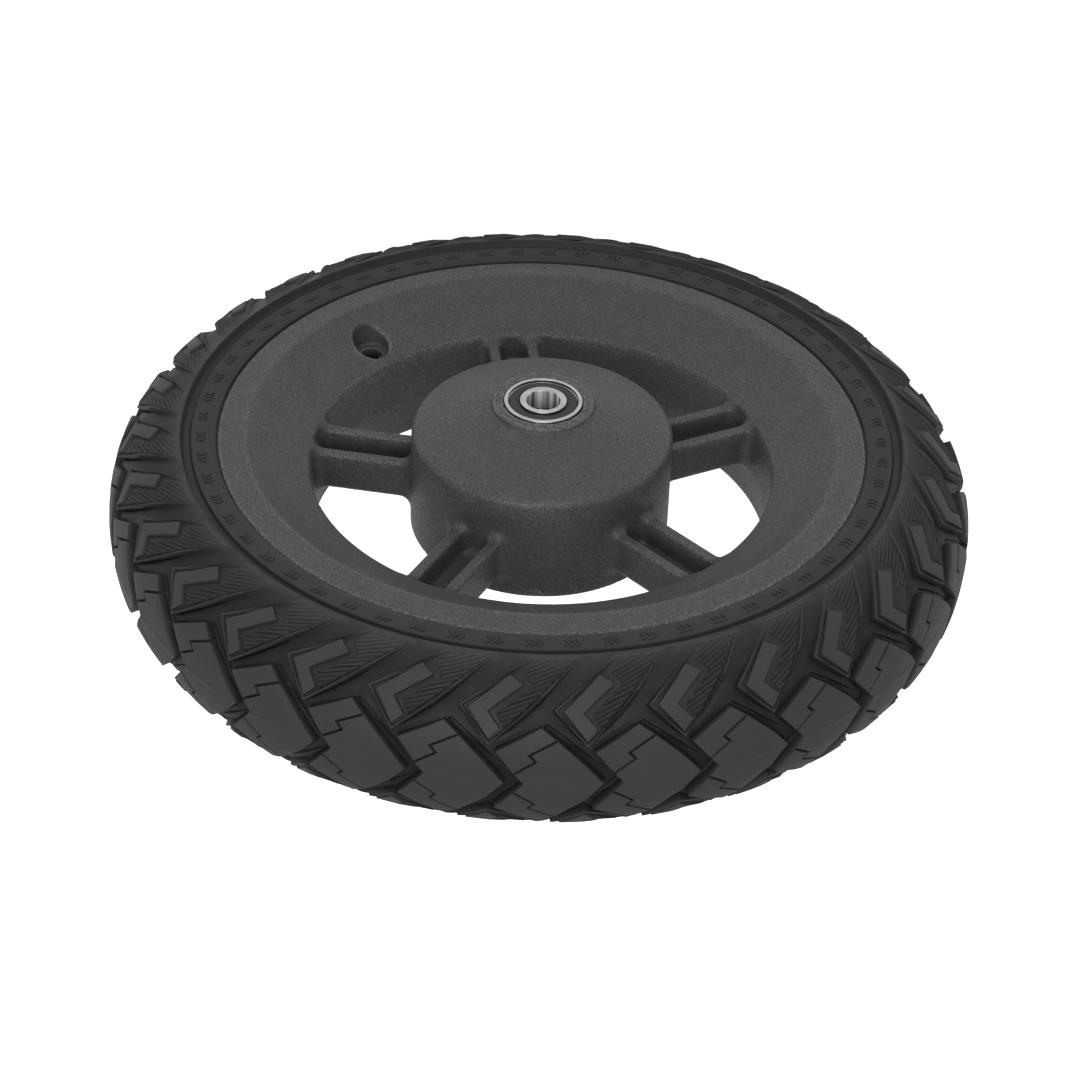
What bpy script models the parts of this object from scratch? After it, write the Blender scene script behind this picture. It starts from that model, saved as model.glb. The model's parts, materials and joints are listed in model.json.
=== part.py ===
"""Hub motor wheel: a five-spoke cast scooter wheel with a 12 inch tyre and a gearless motor in its hub.

Every piece is modelled in the wheel's own frame: the axle is +Z there, z = 0 is the middle plane of
the tyre, and +Z points out of the spoked face. The empty "wheel_axis" then stands the wheel upright,
with the axle along world Y and the spoked face towards -Y. The world origin is the wheel's centre.

Sizes in the constants are in millimetres. MM turns them into Blender's metres.
"""

from math import atan2, cos, hypot, pi, radians, sin, tau

import bmesh
import bpy
from mathutils import Matrix, Vector

MM = 0.001
GAP = 0.3                     # clearance between two pieces that touch in the real wheel

# Tyre: a superellipse about TYRE_CENTRE_R, cut off at the bead
TYRE_R = 155.5
TYRE_HEIGHT = 42.0
TYRE_HALF_WIDTH = 34.3
TYRE_POWER = 2.4
TYRE_CENTRE_R = TYRE_R - TYRE_HEIGHT
TYRE_WALL = 4.5
TYRE_CROWN = 8.0
TYRE_SEGMENTS = 48
TYRE_SHOULDER = radians(72)    # where the superellipse ends, next to the bead
BEAD_TOP = (125.2, 31.2)
BEAD_GAP = 0.4
BEAD_FACE_Z = 27.2
BEAD_TOE_Z = 17.6

# Cast wheel: rim
RIM_EDGE_R = 116.0
RIM_EDGE_Z = 30.0
RIDGE_R = 106.0
RIDGE_Z = 31.1
FLANGE_IN_Z = 27.6            # the flange's face towards the bead
SEAT_R = 101.5
WELL_R = 87.0
BARREL_TOP_R = 83.6
BARREL_TOP_Z = 19.0
BARREL_MID_R = 81.0
BARREL_MID_Z = -4.0
RIM_SEGMENTS = 40

# Cast wheel: spokes, each an H section
SPOKES = 5
SPOKE_FIRST = radians(27)
SPOKE_HALF_WIDTH = 9.8
SPOKE_RIB = 4.8
SPOKE_TOP = 15.0
SPOKE_WEB_TOP = 5.5
SPOKE_WEB_BOTTOM = 2.5
SPOKE_FROM_R = 43.5
SPOKE_TO_R = 84.5

# Cast wheel: drum
DRUM_R = 47.0
DRUM_TOP = 31.5
DRUM_BOTTOM = -8.5
DRUM_BORE_R = 39.6
DRUM_FACE = 27.0              # inside of the front wall at the bore
COVER_SEAT_R = 45.2
COVER_SEAT_Z = -5.2
BOSS_R = 18.2
BOSS_Z = 43.7
SHOULDER_R = 12.9             # bore of the step that the front bearing rests on
SHOULDER_DEPTH = 2.4
DRUM_NECK_R = 20.0
DRUM_SEGMENTS = 40

# Valve hole through the rim, half way between two spokes
VALVE_ANGLE = SPOKE_FIRST + 1.5 * tau / SPOKES
VALVE_R = 93.4
VALVE_POCKET_R = 6.4
VALVE_FLOOR_Z = 17.4          # floor of the pocket, which runs parallel to the axle
VALVE_HOLE_R = 3.9
VALVE_HEAD_R = 5.4
VALVE_STEM_R = 2.2
VALVE_HEAD_Z = -12.0          # heights from the pocket's floor
VALVE_STEM_Z = -1.0

# Bearings: (bore, outer radius, width, z of the outward face). Front 12x28x8, rear 20x32x7
FRONT_BORE, FRONT_OUTER, FRONT_WIDTH, FRONT_FACE = 6.0, 14.0, 8.0, 44.0
REAR_BORE, REAR_OUTER, REAR_WIDTH, REAR_FACE = 10.0, 16.0, 7.0, -23.6
BEARING_SEGMENTS = 20
SPINDLE_SEGMENTS = 24
BALLS = 8
RACE_GROOVE = 0.45
RING_ROUND = 0.35
SEAL_THICK = 0.7
CAGE_HALF = (0.55, 0.8)       # half the cage's radial width and half its height

# Motor
MAGNETS = 14
TEETH = 12
ROTOR_OUT_R = 39.2
ROTOR_IN_R = 37.0
MAGNET_IN_R = 34.7
FLUX_RING_SEGMENTS = MAGNETS * 3
FLUX_RING_Z = (-1.5, 21.5)
MAGNET_Z = (-0.5, 20.5)
MAGNET_SHARE = 0.86           # of each pole's pitch
STATOR_R = 33.9
STACK_BOTTOM = 1.0
STACK_TOP = 19.0
YOKE_OUT_R = 21.6
YOKE_IN_R = 17.0
TOOTH_HALF_WIDTH = 2.9
TOOTH_TIP = 1.8
SLOT_OPENING = 2.4
INSULATOR = 0.9
COIL_IN_R = 23.2
COIL_OUT_R = 30.3
COIL_BUILD = 2.0
COIL_CLEARANCE = 0.5

# Carrier of the stack, and the ring that holds it against the spindle's collar
CARRIER_HUB_R = 12.4
CARRIER_FLANGE_R = 14.4
CARRIER_WEB = (7.0, 13.0)
CARRIER_END = 20.0
CIRCLIP_R = (9.3, 12.6)
CIRCLIP_Z = (20.5, 21.8)
CIRCLIP_OPENING = radians(60)
BOARD_R = (14.0, 22.0)
BOARD_Z = (-5.6, -4.0)
BOARD_HALF_ANGLE = radians(70)

# Spindle
SPINDLE_R = 10.0
SPINDLE_NOSE_R = 8.1
SPINDLE_BORE_R = 6.15
SPINDLE_END = -33.0
SPINDLE_FLAT = 8.5            # half the distance across the torque flats
COLLAR_R = 12.0
REAR_COLLAR_Z = (-16.3, -13.8)
FRONT_COLLAR_Z = -2.8
CIRCLIP_GROOVE = (20.3, 22.0)
NOSE_CONE = (25.0, 27.0)
SPINDLE_EDGE = 0.6
FLAT_LENGTH = 6.5
KEY = 4.0
KEY_Z = (4.0, 16.0)
KEY_BOTTOM = 8.3
KEY_TOP = 11.6
CABLE_SLOT_HALF = 3.4
CABLE_SLOT_FLOOR = 7.0

# Side cover
COVER_R = 44.9
COVER_FACE = -8.5
COVER_BOSS_R = 19.2
COVER_END = -25.0
COVER_LIP_R = 14.4
COVER_SPIGOT_R = 39.2
O_RING_R = 38.6
O_RING_SECTION = 0.65
O_RING_Z = -3.8
COVER_SEGMENTS = 36
SCREWS = 6
SCREW_CIRCLE_R = 42.3
SCREW_R = 1.15
SCREW_HEAD_R = 2.1

# Cable: a flat lead that leaves through the slot in the spindle and turns down to its plug
CABLE_WIDTH = 5.8
CABLE_THICK = 2.4
CABLE_Y = 8.5
CABLE_BEND_R = 6.0
CABLE_END_Y = 40.0
PLUG_END_Y = 62.0
PLUG_HALF_WIDTH = 8.0
PLUG_WALL = 1.8
SOCKET_DEPTH = 9.0
CABLE_START_Z = -4.5
CABLE_STRAIGHT_Z = -20.0
CABLE_BEND_STEPS = 6
HUB_HALF = 44.0               # the plug reaches as far behind the wheel as the front bearing's face


def collection(name):
    made = bpy.data.collections.new(name)
    bpy.context.scene.collection.children.link(made)
    return made


def material(name, colour, roughness, metallic=0.0):
    made = bpy.data.materials.new(name)
    made.use_nodes = True
    shader = made.node_tree.nodes["Principled BSDF"]
    shader.inputs["Base Color"].default_value = (*colour, 1.0)
    shader.inputs["Roughness"].default_value = roughness
    shader.inputs["Metallic"].default_value = metallic
    made.diffuse_color = (*colour, 1.0)
    return made


for old in list(bpy.data.objects):
    bpy.data.objects.remove(old)

PARTS = collection("hub_motor_wheel")
CUTTERS = collection("cutters")

RUBBER = material("tyre_rubber", (0.035, 0.035, 0.036), 0.75)
CAST = material("powder_coated_casting", (0.045, 0.045, 0.046), 0.55, 0.3)
STEEL = material("ground_steel", (0.55, 0.55, 0.54), 0.28, 1.0)
DARK_STEEL = material("blackened_steel", (0.12, 0.12, 0.12), 0.45, 0.9)
SEAL = material("seal_rubber", (0.02, 0.02, 0.02), 0.6)
LAMINATION = material("electrical_steel", (0.28, 0.29, 0.31), 0.5, 0.8)
MAGNET = material("nickel_plated_magnet", (0.5, 0.5, 0.48), 0.3, 1.0)
COPPER = material("enamelled_copper", (0.5, 0.16, 0.05), 0.35, 0.9)
ALUMINIUM = material("machined_aluminium", (0.6, 0.6, 0.61), 0.35, 1.0)
INSULATION = material("insulation_board", (0.75, 0.72, 0.62), 0.6)
CIRCUIT = material("circuit_board", (0.02, 0.16, 0.07), 0.4)
PLASTIC = material("black_plastic", (0.015, 0.015, 0.016), 0.4)

AXIS = bpy.data.objects.new("wheel_axis", None)
AXIS.rotation_euler = (radians(-90), 0.0, radians(180))
PARTS.objects.link(AXIS)


def place(name, mesh, finish, smooth=True, group=PARTS):
    made = bpy.data.objects.new(name, mesh)
    group.objects.link(made)
    made.parent = AXIS
    if smooth:
        mesh.shade_smooth()
        mesh.set_sharp_from_angle(angle=radians(35))
    if finish:
        mesh.materials.append(finish)
    if group is CUTTERS:
        made.hide_render = True
        made.display_type = "WIRE"
    return made


def turned(name, outline, finish, segments, group=PARTS):
    """A closed (radius, z) outline, listed anticlockwise with radius to the right, turned about Z."""
    mesh = bpy.data.meshes.new(name)
    points = [(r * MM, 0.0, z * MM) for r, z in reversed(outline)]
    count = len(points)
    mesh.from_pydata(points, [(i, (i + 1) % count) for i in range(count)], [])
    made = place(name, mesh, finish, False, group)
    screw = made.modifiers.new("turn", "SCREW")
    screw.axis = "Z"
    screw.steps = segments
    screw.render_steps = segments
    screw.use_merge_vertices = True
    screw.merge_threshold = 0.00001
    screw.use_smooth_shade = False
    return made


def ring(name, inner, outer, low, high, finish, segments, group=PARTS):
    return turned(name, [(inner, low), (outer, low), (outer, high), (inner, high)], finish, segments, group)


def prism(name, outline, low, high, finish, turn=None, group=PARTS):
    """A flat (x, y) outline, listed anticlockwise, raised from z = low to z = high."""
    shape = bmesh.new()
    base = [shape.verts.new((x * MM, y * MM, low * MM)) for x, y in outline]
    face = shape.faces.new(base)
    raised = bmesh.ops.extrude_face_region(shape, geom=[face])
    moved = [v for v in raised["geom"] if isinstance(v, bmesh.types.BMVert)]
    bmesh.ops.translate(shape, verts=moved, vec=Vector((0.0, 0.0, (high - low) * MM)))
    if turn is not None:
        bmesh.ops.transform(shape, matrix=turn, verts=shape.verts)
    bmesh.ops.recalc_face_normals(shape, faces=shape.faces)
    mesh = bpy.data.meshes.new(name)
    shape.to_mesh(mesh)
    shape.free()
    return place(name, mesh, finish, True, group)


def cylinder(name, radius, low, high, finish, at=(0.0, 0.0), segments=16, group=PARTS, turn=None):
    shape = bmesh.new()
    height = (high - low) * MM
    bmesh.ops.create_cone(
        shape, cap_ends=True, segments=segments, radius1=radius * MM, radius2=radius * MM, depth=height
    )
    middle = Vector((at[0] * MM, at[1] * MM, (low + high) / 2 * MM))
    bmesh.ops.translate(shape, verts=shape.verts, vec=middle)
    if turn is not None:
        bmesh.ops.transform(shape, matrix=turn, verts=shape.verts)
    mesh = bpy.data.meshes.new(name)
    shape.to_mesh(mesh)
    shape.free()
    return place(name, mesh, finish, True, group)


def block(name, low, high, finish, group=PARTS):
    """A box between two corners."""
    outline = [(low[0], low[1]), (high[0], low[1]), (high[0], high[1]), (low[0], high[1])]
    return prism(name, outline, low[2], high[2], finish, None, group)


def boolean(target, tool, operation):
    cut = target.modifiers.new(operation.lower() + "_" + tool.name, "BOOLEAN")
    cut.object = tool
    cut.operation = operation
    cut.solver = "EXACT"


def spin(angle):
    return Matrix.Rotation(angle, 4, "Z")


def polar(radius, angle):
    return (radius * cos(angle), radius * sin(angle))


def arc_points(radius, start, end, steps):
    return [polar(radius, start + (end - start) * i / steps) for i in range(steps + 1)]


def superellipse(height, half_width, angle):
    """Point of the tyre's section at this angle: 0 is the crown, positive towards the spoked face."""
    across = sin(angle)
    up = cos(angle)
    power = 2.0 / TYRE_POWER
    side = half_width * abs(across) ** power * (1 if across >= 0 else -1)
    return (TYRE_CENTRE_R + height * abs(up) ** power, side)


def tyre():
    steps = 6
    last = TYRE_SHOULDER
    outer = [superellipse(TYRE_HEIGHT, TYRE_HALF_WIDTH, last * i / steps) for i in range(steps + 1)]
    edge_r = RIM_EDGE_R + BEAD_GAP
    seat_r = SEAT_R + BEAD_GAP
    bead = [
        BEAD_TOP, (edge_r, RIM_EDGE_Z + 0.6), (edge_r, BEAD_FACE_Z + 1.2), (edge_r - 2.4, BEAD_FACE_Z),
        (seat_r, BEAD_FACE_Z),
    ]
    toe = [(seat_r, BEAD_TOE_Z)]
    height = TYRE_HEIGHT - TYRE_CROWN
    half_width = TYRE_HALF_WIDTH - TYRE_WALL
    inner = [superellipse(height, half_width, last * i / 3) for i in range(3, -1, -1)]
    half = outer + bead + toe + inner
    lower = [(r, -z) for r, z in half if z > 1e-6]
    return turned("tyre", half + list(reversed(lower)), RUBBER, TYRE_SEGMENTS)


def rim_outline():
    tyre_side = [
        (BARREL_MID_R + 5.2, 0.0),
        (WELL_R, 8.0),
        (90.5, 12.6),
        (99.0, 15.2),
        (SEAT_R, 16.4),
        (SEAT_R, FLANGE_IN_Z),
        (113.6, FLANGE_IN_Z),
        (RIM_EDGE_R, RIM_EDGE_Z - 1.2),
        (RIM_EDGE_R, RIM_EDGE_Z),
        (RIDGE_R, RIDGE_Z),
    ]
    front = [(94.6, 25.6), (BARREL_TOP_R, BARREL_TOP_Z)]
    middle = [(BARREL_MID_R + 0.9, 6.0), (BARREL_MID_R, BARREL_MID_Z)]
    back = [(BARREL_TOP_R, -BARREL_TOP_Z), (94.6, -25.6), (RIDGE_R, -RIDGE_Z), (RIM_EDGE_R, -RIM_EDGE_Z)]
    back_tyre_side = [(r, -z) for r, z in reversed(tyre_side[1:8])]
    return list(reversed(front + middle + back + back_tyre_side + tyre_side))


def drum_outline():
    """Front wall, side and bore of the drum, with the front bearing's seat and the cover's seat."""
    seat_low = FRONT_FACE - FRONT_WIDTH - GAP
    seat_r = FRONT_OUTER + 0.2
    return [
        (DRUM_BORE_R, COVER_SEAT_Z),
        (COVER_SEAT_R, COVER_SEAT_Z),
        (COVER_SEAT_R, DRUM_BOTTOM),
        (DRUM_R - 0.5, DRUM_BOTTOM),
        (DRUM_R, DRUM_BOTTOM + 0.6),
        (DRUM_R, DRUM_TOP - 2.2),
        (DRUM_R - 0.6, DRUM_TOP - 0.6),
        (DRUM_R - 2.0, DRUM_TOP),
        (BOSS_R + 0.5, BOSS_Z - 1.3),
        (BOSS_R, BOSS_Z - 0.3),
        (BOSS_R - 0.6, BOSS_Z),
        (seat_r, BOSS_Z),
        (seat_r, seat_low),
        (SHOULDER_R, seat_low),
        (SHOULDER_R, seat_low - SHOULDER_DEPTH),
        (DRUM_NECK_R, seat_low - SHOULDER_DEPTH - 1.0),
        (DRUM_BORE_R - 2.0, DRUM_FACE),
        (DRUM_BORE_R, DRUM_FACE - 2.0),
    ]


def spoke_outline():
    """The H section in (across, z): two ribs and a web, listed anticlockwise."""
    side = SPOKE_HALF_WIDTH
    rib = side - SPOKE_RIB
    right = [
        (rib, SPOKE_WEB_BOTTOM), (rib, 0.0), (side, 0.0), (side, SPOKE_TOP), (rib, SPOKE_TOP),
        (rib, SPOKE_WEB_TOP),
    ]
    return right + [(-x, z) for x, z in reversed(right)]


def spoke(index):
    """One spoke: the section is drawn flat, turned so that it runs outward, then spun into place."""
    outward = Matrix.Rotation(radians(90), 4, "Z") @ Matrix.Rotation(radians(90), 4, "X")
    turn = spin(SPOKE_FIRST + index * tau / SPOKES - pi) @ outward
    return prism("spoke_%d" % index, spoke_outline(), -SPOKE_TO_R, -SPOKE_FROM_R, None, turn, CUTTERS)


def valve_frame():
    """The middle of the pocket's floor."""
    return spin(VALVE_ANGLE) @ Matrix.Translation((VALVE_R * MM, 0.0, VALVE_FLOOR_Z * MM))


def valve_cutters():
    """The pocket in the rim's sloping face and the hole in its floor."""
    turn = valve_frame()
    pocket = cylinder("valve_pocket", VALVE_POCKET_R, 0, 16, None, (0, 0), 24, CUTTERS, turn)
    hole = cylinder("valve_hole", VALVE_HOLE_R, -16, 1, None, (0, 0), 16, CUTTERS, turn)
    return [pocket, hole]


def wheel_casting():
    casting = turned("wheel_casting", rim_outline(), CAST, RIM_SEGMENTS)
    drum = turned("drum", drum_outline(), None, DRUM_SEGMENTS, CUTTERS)
    for index in range(SPOKES):
        boolean(casting, spoke(index), "UNION")
    boolean(casting, drum, "UNION")
    for cutter in valve_cutters():
        boolean(casting, cutter, "DIFFERENCE")
    for x, y in screw_places():
        hole = cylinder("tapped_hole", SCREW_R + 0.3, DRUM_BOTTOM - 1, 3.5, None, (x, y), 10, CUTTERS)
        boolean(casting, hole, "DIFFERENCE")
    return casting


def screw_places():
    return [polar(SCREW_CIRCLE_R, SPOKE_FIRST + (i + 0.5) * tau / SCREWS) for i in range(SCREWS)]


def valve():
    """Snap-in valve: its head stays inside the tyre and its stem ends below the pocket's floor."""
    neck_r = VALVE_HOLE_R - GAP
    outline = [
        (0.0, VALVE_HEAD_Z), (VALVE_HEAD_R, VALVE_HEAD_Z), (VALVE_HEAD_R, VALVE_HEAD_Z + 2.4),
        (neck_r, VALVE_HEAD_Z + 5.4), (neck_r, VALVE_STEM_Z - 1.4), (VALVE_STEM_R, VALVE_STEM_Z),
        (0.0, VALVE_STEM_Z),
    ]
    stem = turned("valve", outline, RUBBER, 16)
    stem.matrix_local = valve_frame()
    return stem


def bearing_sizes(bore, outer):
    """(ball circle radius, ball radius, land radius of the inner ring, land radius of the outer ring)."""
    ring_height = outer - bore
    circle = (outer + bore) / 2
    return (circle, ring_height * 0.285, bore + ring_height * 0.29, outer - ring_height * 0.21)


def bearing(name, bore, outer, low, high, seal_heights):
    """Outer ring, inner ring, a cage that carries the balls, and one seal for each given height."""
    circle, ball, inner_land, outer_land = bearing_sizes(bore, outer)
    middle = (low + high) / 2
    race = ball * 0.8
    turned(
        name + "_outer_ring",
        [
            (outer_land, low), (outer - RING_ROUND, low), (outer, low + RING_ROUND),
            (outer, high - RING_ROUND), (outer - RING_ROUND, high), (outer_land, high),
            (outer_land, middle + race), (outer_land + RACE_GROOVE, middle), (outer_land, middle - race),
        ],
        STEEL, BEARING_SEGMENTS,
    )
    turned(
        name + "_inner_ring",
        [
            (bore, low), (inner_land, low), (inner_land, middle - race), (inner_land - RACE_GROOVE, middle),
            (inner_land, middle + race), (inner_land, high), (bore, high),
        ],
        STEEL, BEARING_SEGMENTS,
    )
    for label, height in seal_heights:
        ring(
            name + "_" + label, inner_land + 0.25, outer_land - 0.12, height, height + SEAL_THICK,
            SEAL, BEARING_SEGMENTS,
        )
    ball_set(name + "_ball_cage", circle, ball * 0.86, middle)


def ball_set(name, circle, ball, middle):
    """The cage and its balls turn as one piece, so they are one solid."""
    width, height = CAGE_HALF
    inner = circle - width
    outer = circle + width
    cage = ring(name, inner, outer, middle - height, middle + height, STEEL, BALLS * 3)
    for index in range(BALLS):
        x, y = polar(circle, index * tau / BALLS)
        shape = bmesh.new()
        bmesh.ops.create_icosphere(shape, subdivisions=1, radius=ball * MM)
        bmesh.ops.translate(shape, verts=shape.verts, vec=Vector((x * MM, y * MM, middle * MM)))
        mesh = bpy.data.meshes.new("ball")
        shape.to_mesh(mesh)
        shape.free()
        boolean(cage, place("ball", mesh, None, True, CUTTERS), "UNION")
    return cage


def flux_ring_and_magnets():
    ring("flux_ring", ROTOR_IN_R, ROTOR_OUT_R, *FLUX_RING_Z, DARK_STEEL, FLUX_RING_SEGMENTS)
    pitch = tau / MAGNETS
    outer = ROTOR_IN_R * cos(pi / FLUX_RING_SEGMENTS) - 0.1
    for index in range(MAGNETS):
        start = (index + (1 - MAGNET_SHARE) / 2) * pitch
        end = start + MAGNET_SHARE * pitch
        outline = arc_points(outer, start, end, 3) + arc_points(MAGNET_IN_R, end, start, 3)
        prism("magnet_%02d" % (index + 1), outline, *MAGNET_Z, MAGNET)


def stator_outline():
    """Toothed outline of the stack: each tooth widens to a tip that faces the magnets."""
    half = TOOTH_HALF_WIDTH
    tip_angle = (tau * STATOR_R / TEETH - SLOT_OPENING) / 2 / STATOR_R
    neck_r = STATOR_R - TOOTH_TIP
    root_r = YOKE_OUT_R
    outline = []
    for index in range(TEETH):
        middle = index * tau / TEETH
        root = atan2(half, root_r)
        neck = atan2(half, neck_r - 1.2)
        outline.append(polar(hypot(root_r, half), middle - root))
        outline.append(polar(hypot(neck_r - 1.2, half), middle - neck))
        outline.append(polar(neck_r, middle - tip_angle))
        outline.extend(arc_points(STATOR_R, middle - tip_angle, middle + tip_angle, 2))
        outline.append(polar(neck_r, middle + tip_angle))
        outline.append(polar(hypot(neck_r - 1.2, half), middle + neck))
        outline.append(polar(hypot(root_r, half), middle + root))
    return outline


def insulator_outline():
    """The stack's outline without the tooth tips: a ring with one finger for each tooth."""
    half = TOOTH_HALF_WIDTH - 0.3
    root_r = YOKE_OUT_R - 0.3
    outline = []
    for index in range(TEETH):
        middle = index * tau / TEETH
        root = atan2(half, root_r)
        finger = atan2(half, COIL_OUT_R)
        outline.append(polar(hypot(root_r, half), middle - root))
        outline.append(polar(hypot(COIL_OUT_R, half), middle - finger))
        outline.append(polar(hypot(COIL_OUT_R, half), middle + finger))
        outline.append(polar(hypot(root_r, half), middle + root))
    return outline


def plate(name, outline, low, high, finish):
    """A flat plate of the stator with a bore for the carrier."""
    made = prism(name, outline, low, high, finish)
    hole = cylinder(name + "_bore", YOKE_IN_R, low - 2, high + 2, None, (0, 0), TEETH * 2, CUTTERS)
    boolean(made, hole, "DIFFERENCE")
    return made


def coil(index):
    """A flat-wound coil around one tooth, as a rounded rectangular loop."""
    inner_half = TOOTH_HALF_WIDTH + 0.4
    low = STACK_BOTTOM - INSULATOR - COIL_CLEARANCE
    high = STACK_TOP + INSULATOR + COIL_CLEARANCE
    corner = COIL_BUILD * 0.55
    outer_half = inner_half + COIL_BUILD
    bottom = low - COIL_BUILD
    top = high + COIL_BUILD
    outline = [
        (-outer_half + corner, bottom), (outer_half - corner, bottom), (outer_half, bottom + corner),
        (outer_half, top - corner), (outer_half - corner, top), (-outer_half + corner, top),
        (-outer_half, top - corner), (-outer_half, bottom + corner),
    ]
    window = [(-inner_half, low), (inner_half, low), (inner_half, high), (-inner_half, high)]
    outward = Matrix.Rotation(radians(90), 4, "Z") @ Matrix.Rotation(radians(90), 4, "X")
    turn = spin(index * tau / TEETH - pi) @ outward
    loop = prism("coil_%02d" % (index + 1), outline, -COIL_OUT_R, -COIL_IN_R, COPPER, turn)
    hole = prism("coil_window", window, -COIL_OUT_R - 2, -COIL_IN_R + 2, None, turn, CUTTERS)
    boolean(loop, hole, "DIFFERENCE")


def stator():
    plate("stator_core", stator_outline(), STACK_BOTTOM, STACK_TOP, LAMINATION)
    plate("insulator_front", insulator_outline(), STACK_TOP + 0.15, STACK_TOP + INSULATOR, INSULATION)
    plate("insulator_rear", insulator_outline(), STACK_BOTTOM - INSULATOR, STACK_BOTTOM - 0.15, INSULATION)
    for index in range(TEETH):
        coil(index)


def stator_carrier():
    """Hub, web and seat that carry the stack on the spindle, with a keyway."""
    seat_r = YOKE_IN_R * cos(pi / (TEETH * 2)) - 0.15
    bore_r = SPINDLE_R + 0.25
    web_low, web_high = CARRIER_WEB
    seat_low = STACK_BOTTOM + 0.4
    seat_high = STACK_TOP - 0.4
    carrier = turned(
        "stator_carrier",
        [
            (bore_r, 0.0), (CARRIER_HUB_R, 0.0), (CARRIER_HUB_R, web_low), (CARRIER_FLANGE_R, web_low),
            (CARRIER_FLANGE_R, seat_low), (seat_r, seat_low), (seat_r, seat_high),
            (CARRIER_FLANGE_R, seat_high), (CARRIER_FLANGE_R, web_high), (CARRIER_HUB_R, web_high),
            (CARRIER_HUB_R, CARRIER_END), (bore_r, CARRIER_END),
        ],
        ALUMINIUM, 24,
    )
    low = (-KEY / 2 - 0.15, -KEY_TOP - 0.4, -1.0)
    high = (KEY / 2 + 0.15, -KEY_BOTTOM + 0.3, CARRIER_END + 1.0)
    boolean(carrier, block("carrier_keyway", low, high, None, CUTTERS), "DIFFERENCE")
    return carrier


def spindle_outline():
    """Half section of the spindle: plain tube, two collars, the circlip's groove and the slimmer nose."""
    nose_end = FRONT_FACE - FRONT_WIDTH - GAP
    rear_low, rear_high = REAR_COLLAR_Z
    groove_low, groove_high = CIRCLIP_GROOVE
    cone_low, cone_high = NOSE_CONE
    return [
        (SPINDLE_BORE_R, SPINDLE_END), (SPINDLE_R - SPINDLE_EDGE, SPINDLE_END),
        (SPINDLE_R, SPINDLE_END + SPINDLE_EDGE),
        (SPINDLE_R, rear_low), (COLLAR_R, rear_low), (COLLAR_R, rear_high), (SPINDLE_R, rear_high),
        (SPINDLE_R, FRONT_COLLAR_Z), (COLLAR_R, FRONT_COLLAR_Z), (COLLAR_R, -GAP), (SPINDLE_R, -GAP),
        (SPINDLE_R, groove_low), (SPINDLE_R - 1.0, groove_low), (SPINDLE_R - 1.0, groove_high),
        (SPINDLE_R, groove_high), (SPINDLE_R, cone_low), (SPINDLE_NOSE_R, cone_high),
        (SPINDLE_NOSE_R, nose_end), (SPINDLE_BORE_R, nose_end),
    ]


def spindle():
    body = turned("spindle", spindle_outline(), STEEL, SPINDLE_SEGMENTS)
    half = CABLE_SLOT_HALF
    far = COLLAR_R + 2.0
    slot_low = (-half, CABLE_SLOT_FLOOR, SPINDLE_END - 2.0)
    boolean(body, block("cable_slot", slot_low, (half, far, -0.1), None, CUTTERS), "DIFFERENCE")
    half = KEY / 2 + 0.15
    key_low, key_high = KEY_Z
    keyway_high = (half, -KEY_BOTTOM + 0.3, key_high + 0.5)
    keyway = block("spindle_keyway", (-half, -COLLAR_R, key_low - 0.5), keyway_high, None, CUTTERS)
    boolean(body, keyway, "DIFFERENCE")
    for side in (-1, 1):
        near, out = sorted((side * SPINDLE_FLAT, side * far))
        low = (near, -far, SPINDLE_END - 2.0)
        high = (out, far, SPINDLE_END + FLAT_LENGTH)
        boolean(body, block("torque_flat", low, high, None, CUTTERS), "DIFFERENCE")
    return body


def spindle_key():
    low, high = KEY_Z
    return block("spindle_key", (-KEY / 2, -KEY_TOP, low), (KEY / 2, -KEY_BOTTOM, high), DARK_STEEL)


def circlip():
    """Open ring in the spindle's groove that holds the carrier against the collar."""
    start = CIRCLIP_OPENING / 2 - pi / 2
    end = start + tau - CIRCLIP_OPENING
    inner, outer = CIRCLIP_R
    outline = arc_points(outer, start, end, 15) + arc_points(inner, end, start, 15)
    return prism("circlip", outline, *CIRCLIP_Z, DARK_STEEL)


def side_cover_outline():
    """Flange, dish and bearing housing, with a lip outside the rear bearing."""
    seat_r = REAR_OUTER + 0.2
    seat_high = REAR_FACE + REAR_WIDTH + 0.4
    seat_low = REAR_FACE - GAP
    flange_top = COVER_SEAT_Z - GAP
    outside = [
        (COVER_LIP_R, COVER_END), (COVER_BOSS_R - 0.8, COVER_END), (COVER_BOSS_R, COVER_END + 0.8),
        (COVER_BOSS_R + 1.2, COVER_END + 3.5), (37.0, COVER_FACE - 0.4), (39.0, COVER_FACE),
        (COVER_R, COVER_FACE), (COVER_R, flange_top),
    ]
    spigot = [
        (COVER_SPIGOT_R, flange_top), (COVER_SPIGOT_R, O_RING_Z - 0.8), (37.6, O_RING_Z - 0.8),
        (37.6, O_RING_Z + 0.8), (36.4, O_RING_Z + 0.8),
    ]
    inside = [(35.4, -5.6), (22.0, -15.6), (seat_r + 1.5, seat_high), (seat_r, seat_high)]
    return outside + spigot + inside + [(seat_r, seat_low), (COVER_LIP_R, seat_low)]


def side_cover():
    """Dished cover with the rear bearing's housing, screwed to the seat at the back of the drum."""
    cover = turned("side_cover", side_cover_outline(), ALUMINIUM, COVER_SEGMENTS)
    below = COVER_FACE - 2.0
    for at in screw_places():
        head = cylinder("head_hole", SCREW_HEAD_R + 0.25, below, COVER_FACE + 1.5, None, at, 10, CUTTERS)
        shank = cylinder("cover_hole", SCREW_R + 0.3, below, -2.0, None, at, 10, CUTTERS)
        boolean(cover, head, "DIFFERENCE")
        boolean(cover, shank, "DIFFERENCE")
    return cover


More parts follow.
